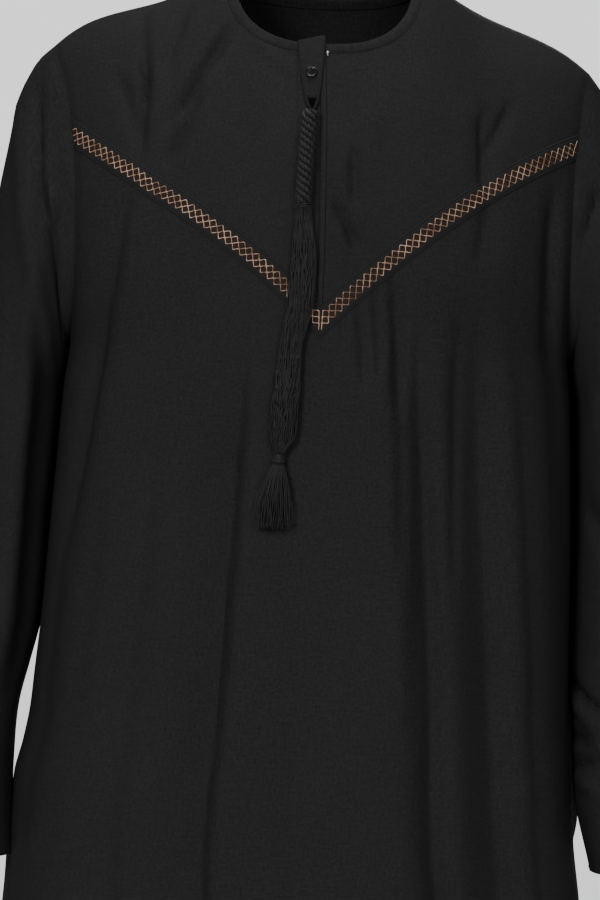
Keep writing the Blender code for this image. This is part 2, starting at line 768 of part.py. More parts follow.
def add_placket(panels, materials):
    """The strip down the middle from the binding to the band's tip."""
    panel = panels[FRONT]
    xs = (PLACKET_X - PLACKET_HALF, PLACKET_X, 0.0, PLACKET_X + PLACKET_HALF)
    grid = []
    normals = []
    for row in range(1, band_row() + 1):
        pairs = [on_row(panel, row, x) for x in xs]
        grid.append([point for point, _ in pairs])
        normals.append([normal for _, normal in pairs])
    for column in range(len(xs)):
        down = (grid[1][column] - grid[0][column]).normalized()
        grid[0][column] = grid[0][column] + down * GAP
        up = (grid[-2][column] - grid[-1][column]).normalized()
        grid[-1][column] = grid[-1][column] + up * GAP
    offset = WALL / 2 + GAP + STRIP / 2
    add_wall("placket", grid, normals, STRIP, materials["cloth"], offset=offset)


def tab_height():
    """How far the tab's middle surface stands off the front's middle surface."""
    return WALL / 2 + GAP + STRIP + GAP + TAB_THICK / 2


def add_tab(panels, materials):
    """The tapered tab that stands over the neckline; the tassel pulls its tip forward."""
    panel = panels[FRONT]
    neck = [on_row(panel, 0, PLACKET_X)[0].z, on_row(panel, 1, PLACKET_X)[0].z]
    levels = [row.z for row in TAB[1:]] + neck
    levels += [on_row(panel, row, PLACKET_X)[0].z for row in (2, 3)]
    levels = sorted((z for z in set(levels) if z >= TAB[-1].z), reverse=True)
    grid = []
    normals = []
    for z in levels:
        half = read(TAB, "half", z)
        pairs = []
        for share in (-1, -0.33, 0.33, 1):
            x = PLACKET_X + share * half
            if z == levels[0]:
                pairs.append(on_row(panel, 0, x))
            else:
                pairs.append(on_panel(panel, x, z))
        stand = TIP_STAND * ease((TIP_START_Z - z) / (TIP_START_Z - TAB[-1].z))
        grid.append([point + normal * stand for point, normal in pairs])
        normals.append([normal for _, normal in pairs])
    top = [a + (a - b).normalized() * TAB_LIFT for a, b in zip(grid[0], grid[1])]
    grid.insert(0, top)
    normals.insert(0, [normal.copy() for normal in normals[0]])
    add_wall("tassel_tab", grid, normals, TAB_THICK, materials["cloth"], offset=tab_height())


def turned(name, profile, point, axis, sides, material):
    """A turned piece: radius and height pairs round an axis, closed at both ends."""
    axis = axis.normalized()
    across = axis.cross(Vector((0.0, 0.0, 1.0))).normalized()
    other = axis.cross(across)
    vertices = []
    for radius, height in profile:
        for index in range(sides):
            angle = 2 * math.pi * index / sides
            arm = across * math.cos(angle) + other * math.sin(angle)
            vertices.append(point + axis * height + arm * radius)
    faces = []
    for ring in range(len(profile) - 1):
        for index in range(sides):
            after = (index + 1) % sides
            faces.append((
                ring * sides + index,
                ring * sides + after,
                (ring + 1) * sides + after,
                (ring + 1) * sides + index,
            ))
    faces.append(tuple(reversed(range(sides))))
    faces.append(tuple(range((len(profile) - 1) * sides, len(profile) * sides)))
    return add_object(name, vertices, faces, material)


def add_fastenings(panels, materials):
    """The button on the tab and the press stud beside the tab's edge."""
    panel = panels[FRONT]
    point, normal = on_panel(panel, PLACKET_X, BUTTON_Z)
    seat = tab_height() + TAB_THICK / 2 + GAP
    rim = BUTTON_RADIUS
    profile = (
        (rim * 0.62, seat),
        (rim * 0.94, seat + BUTTON_THICK * 0.25),
        (rim, seat + BUTTON_THICK * 0.55),
        (rim * 0.93, seat + BUTTON_THICK * 0.92),
        (rim * 0.80, seat + BUTTON_THICK),
        (rim * 0.66, seat + BUTTON_THICK * 0.80),
        (rim * 0.30, seat + BUTTON_THICK * 0.66),
    )
    turned("tab_button", profile, point, normal, BUTTON_SIDES, materials["button"])
    x = PLACKET_X + read(TAB, "half", SNAP_Z) + SNAP_RADIUS + GAP
    point, normal = on_panel(panel, x, SNAP_Z)
    seat = WALL / 2 + GAP + STRIP + GAP
    profile = (
        (SNAP_RADIUS * 0.9, seat),
        (SNAP_RADIUS, seat + SNAP_THICK * 0.3),
        (SNAP_RADIUS * 0.8, seat + SNAP_THICK * 0.8),
        (SNAP_RADIUS * 0.4, seat + SNAP_THICK),
    )
    turned("snap_stud", profile, point, normal, SNAP_SIDES, materials["metal"])


def front_y(panel, x, z):
    """Outermost y of the front near a place, so that what hangs there stays clear."""
    reach = 0.012
    found = [on_panel(panel, x - read(SECTIONS, "sway", z) + step, z)[0].y
             for step in (-reach, -reach / 2, 0.0, reach / 2, reach)]
    return min(found)


def tassel_axis(panel, z):
    """Middle of the tassel at a height, resting on what lies under it."""
    x = read(TASSEL, "x", z)
    deep = HEAD_RADIUS + HEAD_RIDGE if z > HEAD_END_Z else read(TASSEL, "deep", z)
    under = WALL / 2 + GAP + BAND_THICK + TASSEL_CLEAR
    return Vector((x, front_y(panel, x, z) - under - deep, z))


def tassel_path(panel, start_z, end_z, steps):
    """Places down the tassel's middle, evened out where the cloth under it steps."""
    heights = [mix(start_z, end_z, i / steps) for i in range(steps + 1)]
    places = [tassel_axis(panel, z) for z in heights]
    for index, place in enumerate(places):
        near = places[max(index - 1, 0):index + 2]
        place.y = min(place.y, sum(item.y for item in near) / len(near))
    return places


def add_column(name, rings, material):
    """A solid through closed rings of equal count, capped with fans."""
    sides = len(rings[0])
    vertices = [point for ring in rings for point in ring]
    top = len(vertices)
    vertices.append(sum(rings[0], Vector()) / sides)
    vertices.append(sum(rings[-1], Vector()) / sides)
    faces = []
    for ring in range(len(rings) - 1):
        for index in range(sides):
            after = (index + 1) % sides
            low = (ring + 1) * sides
            high = ring * sides
            faces.append((high + index, low + index, low + after, high + after))
    last = (len(rings) - 1) * sides
    for index in range(sides):
        after = (index + 1) % sides
        faces.append((top, index, after))
        faces.append((top + 1, last + after, last + index))
    return add_object(name, vertices, faces, material, crisp=70)


def add_tassel_head(panel, materials):
    """The wrapped head: twisted cords that run round it, closed by a collar at each end."""
    places = tassel_path(panel, HEAD_TOP_Z, HEAD_END_Z, HEAD_STEPS)
    rings = []
    for step, place in enumerate(places):
        share = step / HEAD_STEPS
        end_fade = ease(min(share, 1 - share) / COLLAR_SHARE)
        ring = []
        for index in range(HEAD_SIDES):
            start = 2 * math.pi * index / HEAD_SIDES
            radius = mix(COLLAR_RADIUS, HEAD_RADIUS, end_fade)
            radius += HEAD_RIDGE * 0.5 * (1 + math.cos(HEAD_STARTS * start)) * end_fade
            angle = start + 2 * math.pi * HEAD_TURNS * share
            arm = Vector((math.cos(angle), math.sin(angle), 0.0))
            ring.append(place + arm * radius)
        rings.append(ring)
    add_column("tassel_head", rings, materials["thread"])


def add_tassel_bundle(panel, materials):
    """The long thread bundle between the wrapped head and the tie."""
    sides = 2 * BUNDLE_FLUTES
    places = tassel_path(panel, HEAD_END_Z - GAP, BUNDLE_END_Z, BUNDLE_STEPS)
    rings = []
    for place in places:
        half = read(TASSEL, "half", place.z)
        deep = read(TASSEL, "deep", place.z)
        ring = []
        for index in range(sides):
            angle = 2 * math.pi * index / sides
            reach = 1.0 if index % 2 == 0 else FLUTE_RATIO
            arm = Vector((math.cos(angle) * half, math.sin(angle) * deep, 0.0))
            ring.append(place + arm * reach)
        rings.append(ring)
    add_column("tassel_bundle", rings, materials["thread"])


def add_tassel_skirt(panel, materials):
    """The tied end: threads that stand apart below a knot to which their roots are fused."""
    knot_top, knot_end = tassel_path(panel, BUNDLE_END_Z - GAP, KNOT_END_Z, 1)
    fan_end = tassel_axis(panel, SKIRT_END_Z)
    fan_end.y = min(fan_end.y, knot_end.y)
    half = read(TASSEL, "half", KNOT_END_Z)
    deep = read(TASSEL, "deep", KNOT_END_Z)
    rings = SKIRT_RINGS
    sectors = 2 * SKIRT_STRANDS // rings
    vertices = []
    faces = []
    for level, share in ((knot_top, 0.8), (knot_end, 1.0)):
        for index in range(sectors):
            angle = 2 * math.pi * index / sectors
            arm = Vector((math.cos(angle) * half, math.sin(angle) * deep, 0.0))
            vertices.append(level + arm * share)
    top_centre = len(vertices)
    vertices.append(knot_top.copy())
    for index in range(sectors):
        after = (index + 1) % sectors
        faces.append((top_centre, index, after))
        faces.append((index, sectors + index, sectors + after, after))
    # Inner rings of the knot's underside; the outer one is the knot's own edge
    ring_start = [sectors]
    for ring in range(1, rings + 1):
        share = 1 - 0.9 * ring / rings
        ring_start.append(len(vertices))
        for index in range(sectors):
            angle = 2 * math.pi * index / sectors
            arm = Vector((math.cos(angle) * half, math.sin(angle) * deep, 0.0))
            vertices.append(knot_end + arm * share)
    centre = len(vertices)
    vertices.append(knot_end.copy())
    for index in range(sectors):
        after = (index + 1) % sectors
        faces.append((ring_start[rings] + index, centre, ring_start[rings] + after))
    strand_half = read(TASSEL, "half", SKIRT_END_Z)
    strand_deep = read(TASSEL, "deep", SKIRT_END_Z)
    for ring in range(rings):
        for index in range(sectors):
            after = (index + 1) % sectors
            root = (
                ring_start[ring] + index,
                ring_start[ring + 1] + index,
                ring_start[ring + 1] + after,
                ring_start[ring] + after,
            )
            if (index + ring) % 2:
                faces.append(root)
                continue
            middle = sum((vertices[i] for i in root), Vector()) / 4
            offset = middle - knot_end
            target = Vector((
                fan_end.x + offset.x / half * strand_half,
                fan_end.y + offset.y / deep * strand_deep,
                SKIRT_END_Z + STRAND_UNEVEN * math.sin(7 * index + 3 * ring),
            ))
            before = root
            for share in (STRAND_BEND, 1.0):
                bulge = math.sin(share * math.pi * 0.5)
                level = Vector((
                    mix(middle.x, target.x, bulge),
                    mix(middle.y, target.y, bulge),
                    mix(middle.z, target.z, share),
                ))
                start = len(vertices)
                for corner in root:
                    vertices.append(level + (vertices[corner] - middle) * mix(0.9, 0.6, share))
                new = tuple(range(start, start + 4))
                for a in range(4):
                    b = (a + 1) % 4
                    faces.append((before[a], before[b], new[b], new[a]))
                before = new
            faces.append(before)
    add_object("tassel_skirt", vertices, faces, materials["thread"], crisp=70)


def main():
    for item in list(bpy.data.objects):
        bpy.data.objects.remove(item, do_unlink=True)
    materials = {
        "cloth": cloth_material("black_cloth", (0.012, 0.012, 0.013), 0.85),
        "band": cloth_material("band_cloth", (0.020, 0.014, 0.011), 0.80),
        "thread": cloth_material("black_thread", (0.010, 0.010, 0.011), 0.60),
        "button": cloth_material("button_black", (0.008, 0.008, 0.009), 0.25),
        "metal": cloth_material("snap_metal", (0.60, 0.60, 0.62), 0.30, metallic=1.0),
    }
    panels = {face: panel_grid(face) for face in (FRONT, BACK)}
    for face in (FRONT, BACK):
        swayed(panels[face][0])
    sleeves = {side: shape_sleeve(panels, side) for side in SIDES}
    join_seams(panels, sleeves)
    add_panels(panels, sleeves, materials)
    add_bindings(panels, materials)
    add_band(panels, materials)
    add_placket(panels, materials)
    add_tab(panels, materials)
    add_fastenings(panels, materials)
    add_tassel_head(panels[FRONT], materials)
    add_tassel_bundle(panels[FRONT], materials)
    add_tassel_skirt(panels[FRONT], materials)


main()
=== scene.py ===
"""The finish of a black collarless thobe: its cloth, lattice band, tab, button and tassel.

Metres, +Z up, front towards -Y, +X towards the wearer's left. The cloth follows the solids'
sizes and adds what they leave out: creases, seams, sewing, raised thread and loose strands.
"""
import math
from collections import namedtuple

import bpy
import numpy as np
from mathutils import Matrix, Vector


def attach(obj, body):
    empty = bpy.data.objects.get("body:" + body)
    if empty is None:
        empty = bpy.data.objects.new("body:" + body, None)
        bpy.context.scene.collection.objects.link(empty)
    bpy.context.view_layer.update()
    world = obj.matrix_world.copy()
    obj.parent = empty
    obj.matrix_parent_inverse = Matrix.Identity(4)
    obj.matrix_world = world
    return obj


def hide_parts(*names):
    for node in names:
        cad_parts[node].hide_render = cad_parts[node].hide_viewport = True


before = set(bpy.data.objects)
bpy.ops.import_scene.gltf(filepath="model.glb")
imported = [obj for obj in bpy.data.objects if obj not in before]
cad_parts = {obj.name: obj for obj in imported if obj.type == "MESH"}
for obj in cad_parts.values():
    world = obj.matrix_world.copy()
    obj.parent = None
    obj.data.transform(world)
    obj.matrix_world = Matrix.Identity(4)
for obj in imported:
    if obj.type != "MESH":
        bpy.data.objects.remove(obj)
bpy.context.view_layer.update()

FRONT = -1
BACK = 1
RIGHT = -1
LEFT = 1

# Cloth: its thickness, the heights of its faces, and how it dips towards a seam
CLOTH = 0.0006
OUTER = 0.0008
INNER = OUTER - CLOTH
SEAM_GAP = 0.00004
SEAM_DIP = 0.0012
SEAM_REACH = 0.0045

# Turned edges: how deep they are, what they add to each face, and where their stitches run
HEM_DEPTH = 0.022
HEM_ADDS = 0.0004
HEM_STITCHES = 0.0200
CUFF_DEPTH = 0.0035
CUFF_ADDS = 0.0003
CUFF_STITCHES = 0.0026

# Neck opening, its binding and the shoulders
NECK_HALF = 0.0775
NECK_DROP = {FRONT: 0.0700, BACK: 0.0150}
NECK_POWER = 2.6
BINDING_WIDTH = 0.0075
LOW_SHOULDER = 0.0110
ROLL_REACH = {FRONT: 0.26, BACK: 0.20}
ROLL_POWER = {FRONT: 1.8, BACK: 2.2}

# Armholes
UNDERARM_Z = -0.330
ARMHOLE_RATIO = {FRONT: 0.60, BACK: 0.62}
ARMHOLE_RISE = 0.60

# Chevron band
BAND_TIP_Z = -0.3060
BAND_SLOPE = 1.0085
BAND_BEND = {RIGHT: 1.31, LEFT: 1.25}
BAND_DIP = {RIGHT: 0.0014, LEFT: 0.0}
BAND_DIP_X = 0.146
BAND_DIP_REACH = 0.008
BAND_END = 0.216
BAND_LEAN = {RIGHT: 5.0, LEFT: 0.0}
BAND_HALF = 0.0100
BAND_INSET = 0.0004
BAND_BASE = 0.00045

# Placket
PLACKET_X = -0.0110
PLACKET_HALF = 0.0125
PLACKET_BASE = 0.00040

# Panels: half width, sideways sway, depth in front and behind, and the oval's power
HEM_Z = -1.480
Section = namedtuple("Section", "z half sway front back power")
SECTIONS = (
    Section(0.000, 0.2340, -0.0020, 0.118, 0.098, 2.60),
    Section(-0.069, 0.2330, 0.0005, 0.121, 0.108, 2.60),
    Section(-0.100, 0.2240, 0.0020, 0.124, 0.113, 2.60),
    Section(-0.130, 0.2185, 0.0035, 0.127, 0.117, 2.60),
    Section(-0.160, 0.2145, 0.0043, 0.129, 0.119, 2.60),
    Section(-0.200, 0.2120, 0.0050, 0.131, 0.121, 2.60),
    Section(-0.250, 0.2110, 0.0055, 0.133, 0.121, 2.60),
    Section(-0.300, 0.2125, 0.0053, 0.135, 0.119, 2.55),
    Section(-0.330, 0.2155, 0.0050, 0.136, 0.117, 2.50),
    Section(-0.360, 0.2190, 0.0047, 0.137, 0.115, 2.50),
    Section(-0.420, 0.2225, 0.0043, 0.137, 0.113, 2.45),
    Section(-0.500, 0.2265, 0.0030, 0.138, 0.114, 2.40),
    Section(-0.565, 0.2290, 0.0015, 0.140, 0.120, 2.40),
    Section(-0.610, 0.2315, 0.0000, 0.142, 0.126, 2.40),
    Section(-0.640, 0.2330, -0.0010, 0.144, 0.130, 2.40),
    Section(-0.670, 0.2372, -0.0020, 0.146, 0.133, 2.38),
    Section(-0.700, 0.2420, -0.0042, 0.148, 0.136, 2.36),
    Section(-0.740, 0.2447, -0.0043, 0.150, 0.138, 2.35),
    Section(-0.800, 0.2499, -0.0019, 0.153, 0.141, 2.35),
    Section(-1.000, 0.2650, -0.0010, 0.165, 0.154, 2.30),
    Section(-1.200, 0.2800, 0.0000, 0.176, 0.167, 2.25),
    Section(HEM_Z, 0.3000, 0.0000, 0.190, 0.182, 2.20),
)

# Shoulder seam
Shoulder = namedtuple("Shoulder", "z reach")
SHOULDER = (
    Shoulder(0.012, 0.0000),
    Shoulder(0.000, 0.0775),
    Shoulder(-0.0268, 0.1380),
    Shoulder(-0.0460, 0.1990),
    Shoulder(-0.069, 0.2330),
    Shoulder(-0.110, 0.2600),
)
TIP_REACH = 0.2330

# Hanging folds: a valley from one point to the other and on to the hem, each flank with its
# own width, so that one side is steep and the other soft
Fold = namedtuple("Fold", "top_x top_z low_x low_z left right depth hem_depth")
FOLDS = {
    FRONT: (
        Fold(-0.0620, -0.290, -0.0760, -0.789, 0.040, 0.0070, 0.0165, 0.0220),
        Fold(0.0765, -0.250, 0.1265, -0.789, 0.014, 0.012, 0.0140, 0.0220),
        Fold(0.1250, -0.250, 0.1790, -0.740, 0.032, 0.016, 0.0175, 0.0260),
        Fold(-0.1330, -0.350, -0.1490, -0.676, 0.018, 0.012, 0.0050, 0.0160),
        Fold(-0.0036, -0.520, 0.0030, -0.787, 0.016, 0.010, 0.0038, 0.0160),
        Fold(0.1868, -0.180, 0.2300, -0.600, 0.010, 0.005, 0.0070, 0.0100),
        Fold(-0.1660, -0.195, -0.2160, -0.530, 0.026, 0.0075, 0.0100, 0.0100),
        Fold(0.0500, -0.740, 0.0560, -1.000, 0.014, 0.016, 0.0060, 0.0170),
        Fold(-0.0380, -0.820, -0.0400, -1.100, 0.014, 0.012, 0.0040, 0.0110),
        Fold(0.1600, -0.270, 0.1980, -0.600, 0.006, 0.012, 0.0034, 0.0060),
    ),
    BACK: (
        Fold(-0.0400, -0.200, -0.0600, -0.760, 0.020, 0.010, 0.0080, 0.0200),
        Fold(0.0500, -0.230, 0.0640, -0.780, 0.010, 0.022, 0.0090, 0.0200),
        Fold(-0.1150, -0.250, -0.1400, -0.740, 0.022, 0.010, 0.0100, 0.0200),
        Fold(0.1230, -0.240, 0.1460, -0.760, 0.010, 0.020, 0.0100, 0.0200),
        Fold(0.0040, -0.420, 0.0020, -0.800, 0.014, 0.012, 0.0050, 0.0170),
        Fold(-0.1850, -0.300, -0.2050, -0.640, 0.012, 0.008, 0.0070, 0.0110),
        Fold(0.1880, -0.320, 0.2060, -0.620, 0.008, 0.012, 0.0070, 0.0110),
    ),
}
FOLD_ONSET = 0.160
FOLD_EDGE = 0.14
FOLD_POWER = 1.7
HEM_WIDENING = 1.5

# Where the back fills out behind the side seams
SWELL = {RIGHT: 0.0078, LEFT: 0.0108}
SWELL_DEPTH = 0.0375
SWELL_TOP_Z = -0.285
SWELL_LOW_Z = {RIGHT: -0.590, LEFT: -0.765}
SWELL_FADE = 0.040
SWELL_FROM = 0.60
SWELL_ONSET = 0.12

# Creases of their own length: minus depth is a ridge
CREASE_ENDS = 0.35
Crease = namedtuple("Crease", "x_a z_a x_b z_b left right depth")
CREASES = {
    FRONT: (
        # Yoke, wearer's right: drawn together towards the band
        Crease(-0.1575, -0.024, -0.1513, -0.140, 0.0038, 0.0060, 0.0040),
        Crease(-0.1500, -0.070, -0.1590, -0.186, 0.0038, 0.0060, 0.0046),
        Crease(-0.1455, -0.070, -0.1490, -0.170, 0.0050, 0.0070, -0.0018),
        Crease(-0.0700, -0.046, -0.1400, -0.158, 0.0050, 0.0070, 0.0070),
        Crease(-0.1000, -0.108, -0.1370, -0.188, 0.0040, 0.0055, 0.0060),
        Crease(-0.0900, -0.084, -0.1340, -0.170, 0.0050, 0.0060, -0.0030),
        Crease(-0.1150, -0.036, -0.1410, -0.106, 0.0045, 0.0060, 0.0038),
        Crease(-0.1780, -0.090, -0.1570, -0.164, 0.0060, 0.0080, 0.0034),
        Crease(-0.0660, -0.068, -0.0240, -0.102, 0.0060, 0.0060, -0.0012),
        Crease(-0.1600, -0.190, -0.1770, -0.240, 0.0050, 0.0060, 0.0022),
        # Yoke, wearer's left
        Crease(0.1325, -0.105, 0.1325, -0.198, 0.0040, 0.0110, 0.0060),
        Crease(0.1600, -0.102, 0.1330, -0.162, 0.0040, 0.0070, 0.0040),
        Crease(0.1180, -0.105, 0.1150, -0.200, 0.0090, 0.0060, -0.0014),
        Crease(0.1400, -0.180, 0.1280, -0.262, 0.0060, 0.0120, 0.0034),
        # Beside the tassel and the placket
        Crease(0.0228, -0.156, 0.0248, -0.218, 0.0040, 0.0065, 0.0052),
        Crease(0.0060, -0.202, 0.0310, -0.256, 0.0040, 0.0060, 0.0070),
        Crease(0.0135, -0.206, 0.0165, -0.282, 0.0040, 0.0050, -0.0018),
        Crease(0.0330, -0.110, 0.0340, -0.200, 0.0080, 0.0100, -0.0016),
        # Sharper bottoms of the two long folds beside the tassel
        Crease(0.0665, -0.250, 0.0765, -0.560, 0.0055, 0.0050, 0.0036),
        Crease(0.1140, -0.256, 0.1265, -0.580, 0.0055, 0.0050, 0.0034),
        # Small pleats under the tip
        Crease(0.0184, -0.304, 0.0212, -0.336, 0.0030, 0.0030, 0.0018),
        Crease(0.0310, -0.280, 0.0400, -0.376, 0.0040, 0.0060, 0.0040),
        Crease(0.0435, -0.268, 0.0525, -0.366, 0.0040, 0.0060, 0.0046),
        Crease(0.0585, -0.244, 0.0680, -0.400, 0.0050, 0.0080, 0.0062),
        # Right of the body, down from the band and the armhole
        Crease(0.1950, -0.158, 0.1965, -0.345, 0.0075, 0.0055, 0.0070),
        Crease(0.2030, -0.200, 0.2060, -0.330, 0.0060, 0.0060, -0.0012),
        Crease(-0.1678, -0.208, -0.1765, -0.300, 0.0100, 0.0050, 0.0020),
        # Soft bright bands between the valleys
        Crease(0.0620, -0.380, 0.0860, -0.660, 0.0120, 0.0060, -0.0016),
        Crease(-0.0260, -0.420, -0.0360, -0.760, 0.0160, 0.0180, -0.0022),
        Crease(0.0160, -0.480, 0.0230, -0.840, 0.0060, 0.0120, 0.0013),
        Crease(0.0420, -0.500, 0.0520, -0.800, 0.0130, 0.0050, 0.0012),
        Crease(-0.0380, -0.560, -0.0460, -0.860, 0.0050, 0.0100, 0.0011),
        Crease(-0.0900, -0.360, -0.1020, -0.660, 0.0100, 0.0050, 0.0012),
        Crease(-0.1750, -0.420, -0.1900, -0.700, 0.0090, 0.0060, 0.0014),
        Crease(0.0860, -0.430, 0.0960, -0.700, 0.0050, 0.0090, 0.0013),
        Crease(-0.1000, -0.400, -0.1120, -0.740, 0.0160, 0.0160, -0.0020),
        # A slack pucker where the hand hangs beside the thigh
        Crease(0.1650, -0.690, 0.2150, -0.672, 0.0050, 0.0060, 0.0010),
        Crease(0.1750, -0.702, 0.2200, -0.690, 0.0050, 0.0050, -0.0010),
    ),
    BACK: (
        Crease(-0.1450, -0.060, -0.1250, -0.190, 0.0080, 0.0100, 0.0038),
        Crease(0.1500, -0.060, 0.1280, -0.180, 0.0100, 0.0080, 0.0036),
        Crease(-0.0650, -0.050, -0.0900, -0.150, 0.0080, 0.0080, 0.0022),
        Crease(0.0600, -0.055, 0.0860, -0.160, 0.0080, 0.0080, 0.0024),
        Crease(-0.0050, -0.130, 0.0040, -0.300, 0.0140, 0.0140, -0.0020),
        Crease(-0.1750, -0.160, -0.1650, -0.300, 0.0080, 0.0080, 0.0030),
        Crease(0.1780, -0.170, 0.1670, -0.310, 0.0080, 0.0080, 0.0030),
        Crease(-0.0850, -0.300, -0.1000, -0.600, 0.0140, 0.0140, -0.0024),
        Crease(0.0900, -0.320, 0.1080, -0.600, 0.0140, 0.0140, -0.0024),
        Crease(-0.0200, -0.420, 0.0900, -0.440, 0.0060, 0.0080, 0.0012),
    ),
}

# Fine unevenness, and how near a seam the creases fade out
WOBBLE_X = (0.0006, 0.0003)
WOBBLE_Z = 0.0050
RIPPLE = 0.00045
CALM_SIDE = 0.014
CALM_SHOULDER = 0.016

# Sleeves: each ring's inner and outer points, the middle and half of its depth, and how
# far it has turned from the armhole's outline (0) into an oval (1)
Ring = namedtuple("Ring", "in_x in_z out_x out_z mid_y half_y oval")
SLEEVES = {
    RIGHT: (
        Ring(0.2138, -0.334, 0.2465, -0.084, 0.005, 0.072, 0.15),
        Ring(0.2132, -0.341, 0.2600, -0.117, 0.006, 0.073, 0.40),
        Ring(0.2142, -0.349, 0.2715, -0.172, 0.007, 0.073, 0.70),
        Ring(0.2153, -0.357, 0.2825, -0.240, 0.008, 0.071, 0.90),
        Ring(0.2165, -0.367, 0.2935, -0.320, 0.010, 0.069, 1.00),
        Ring(0.2187, -0.400, 0.3025, -0.392, 0.012, 0.067, 1.00),
        Ring(0.2222, -0.450, 0.3090, -0.455, 0.015, 0.066, 1.00),
        Ring(0.2259, -0.520, 0.3165, -0.527, 0.015, 0.064, 1.00),
        Ring(0.2288, -0.565, 0.3205, -0.577, 0.010, 0.062, 1.00),
        Ring(0.2365, -0.603, 0.3240, -0.618, 0.002, 0.060, 1.00),
        Ring(0.2440, -0.640, 0.3270, -0.656, -0.009, 0.058, 1.00),
        Ring(0.2462, -0.690, 0.3305, -0.704, -0.021, 0.055, 1.00),
        Ring(0.2430, -0.766, 0.3340, -0.772, -0.036, 0.051, 1.00),
    ),
    LEFT: (
        Ring(0.2252, -0.334, 0.2425, -0.094, 0.005, 0.072, 0.15),
        Ring(0.2244, -0.341, 0.2585, -0.124, 0.006, 0.073, 0.40),
        Ring(0.2252, -0.349, 0.2740, -0.176, 0.007, 0.073, 0.70),
        Ring(0.2259, -0.357, 0.2880, -0.245, 0.008, 0.071, 0.90),
        Ring(0.2267, -0.367, 0.2995, -0.325, 0.010, 0.069, 1.00),
        Ring(0.2280, -0.400, 0.3090, -0.396, 0.012, 0.067, 1.00),
        Ring(0.2297, -0.450, 0.3160, -0.460, 0.014, 0.066, 1.00),
        Ring(0.2312, -0.520, 0.3225, -0.530, 0.010, 0.064, 1.00),
        Ring(0.2322, -0.575, 0.3265, -0.585, 0.002, 0.062, 1.00),
        Ring(0.2334, -0.620, 0.3290, -0.632, -0.008, 0.060, 1.00),
        Ring(0.2357, -0.660, 0.3315, -0.672, -0.020, 0.058, 1.00),
        Ring(0.2382, -0.700, 0.3340, -0.712, -0.031, 0.055, 1.00),
        Ring(0.2525, -0.763, 0.3375, -0.768, -0.045, 0.051, 1.00),
    ),
}

# Sleeve creases: from one angle and height to another; 0 is the inner line, 90 the front
Bend = namedtuple("Bend", "angle_a z_a angle_b z_b width depth")
BENDS = {
    RIGHT: (
        Bend(172, -0.085, 98, -0.226, 0.0040, 0.0078),
        Bend(110, -0.198, 30, -0.322, 0.0040, 0.0074),
        Bend(182, -0.105, 110, -0.234, 0.0080, -0.0040),
        Bend(120, -0.216, 38, -0.350, 0.0080, -0.0044),
        Bend(152, -0.104, 94, -0.208, 0.0036, 0.0056),
        Bend(104, -0.186, 34, -0.297, 0.0036, 0.0066),
        Bend(112, -0.162, 72, -0.244, 0.0038, 0.0062),
        Bend(104, -0.198, 90, -0.224, 0.0045, -0.0044),
        Bend(90, -0.260, 66, -0.400, 0.0110, -0.0040),
        Bend(70, -0.360, 62, -0.600, 0.0120, -0.0060),
        Bend(46, -0.350, 36, -0.620, 0.0150, 0.0064),
        Bend(100, -0.380, 104, -0.600, 0.0120, 0.0020),
        Bend(70, -0.690, 120, -0.640, 0.0090, 0.0024),
        Bend(200, -0.470, 300, -0.440, 0.0110, 0.0050),
        Bend(240, -0.560, 330, -0.520, 0.0100, 0.0045),
        Bend(230, -0.160, 262, -0.320, 0.0100, 0.0045),
        Bend(280, -0.180, 300, -0.300, 0.0080, 0.0030),
        Bend(210, -0.600, 290, -0.640, 0.0090, 0.0026),
    ),
    LEFT: (
        Bend(126, -0.120, 112, -0.200, 0.0070, 0.0036),
        Bend(118, -0.186, 70, -0.244, 0.0040, 0.0066),
        Bend(128, -0.196, 82, -0.262, 0.0070, -0.0030),
        Bend(84, -0.120, 74, -0.200, 0.0045, 0.0036),
        Bend(110, -0.230, 60, -0.380, 0.0080, 0.0036),
        Bend(4, -0.600, 66, -0.630, 0.0045, 0.0060),
        Bend(10, -0.618, 56, -0.642, 0.0050, -0.0040),
        Bend(6, -0.650, 44, -0.652, 0.0045, 0.0060),
        Bend(40, -0.650, 84, -0.622, 0.0045, -0.0040),
        Bend(8, -0.676, 64, -0.664, 0.0045, 0.0056),
        Bend(16, -0.686, 56, -0.694, 0.0050, -0.0040),
        Bend(60, -0.350, 108, -0.440, 0.0100, 0.0044),
        Bend(40, -0.450, 96, -0.520, 0.0110, 0.0048),
        Bend(100, -0.360, 116, -0.560, 0.0120, -0.0026),
        Bend(50, -0.600, 120, -0.560, 0.0070, 0.0036),
        Bend(70, -0.625, 110, -0.655, 0.0055, 0.0030),
        Bend(60, -0.650, 118, -0.612, 0.0055, 0.0030),
        Bend(64, -0.690, 112, -0.668, 0.0060, 0.0026),
        Bend(90, -0.640, 130, -0.690, 0.0060, 0.0022),
        Bend(200, -0.470, 300, -0.440, 0.0110, 0.0050),
        Bend(240, -0.560, 330, -0.520, 0.0100, 0.0045),
        Bend(230, -0.170, 262, -0.320, 0.0100, 0.0045),
        Bend(280, -0.190, 300, -0.300, 0.0080, 0.0030),
        Bend(210, -0.600, 290, -0.640, 0.0090, 0.0026),
    ),
}
SLEEVE_RADIUS = 0.060
BEND_ENDS = 0.12
BEND_ONSET = 0.030
SLEEVE_RIPPLE = 0.0005

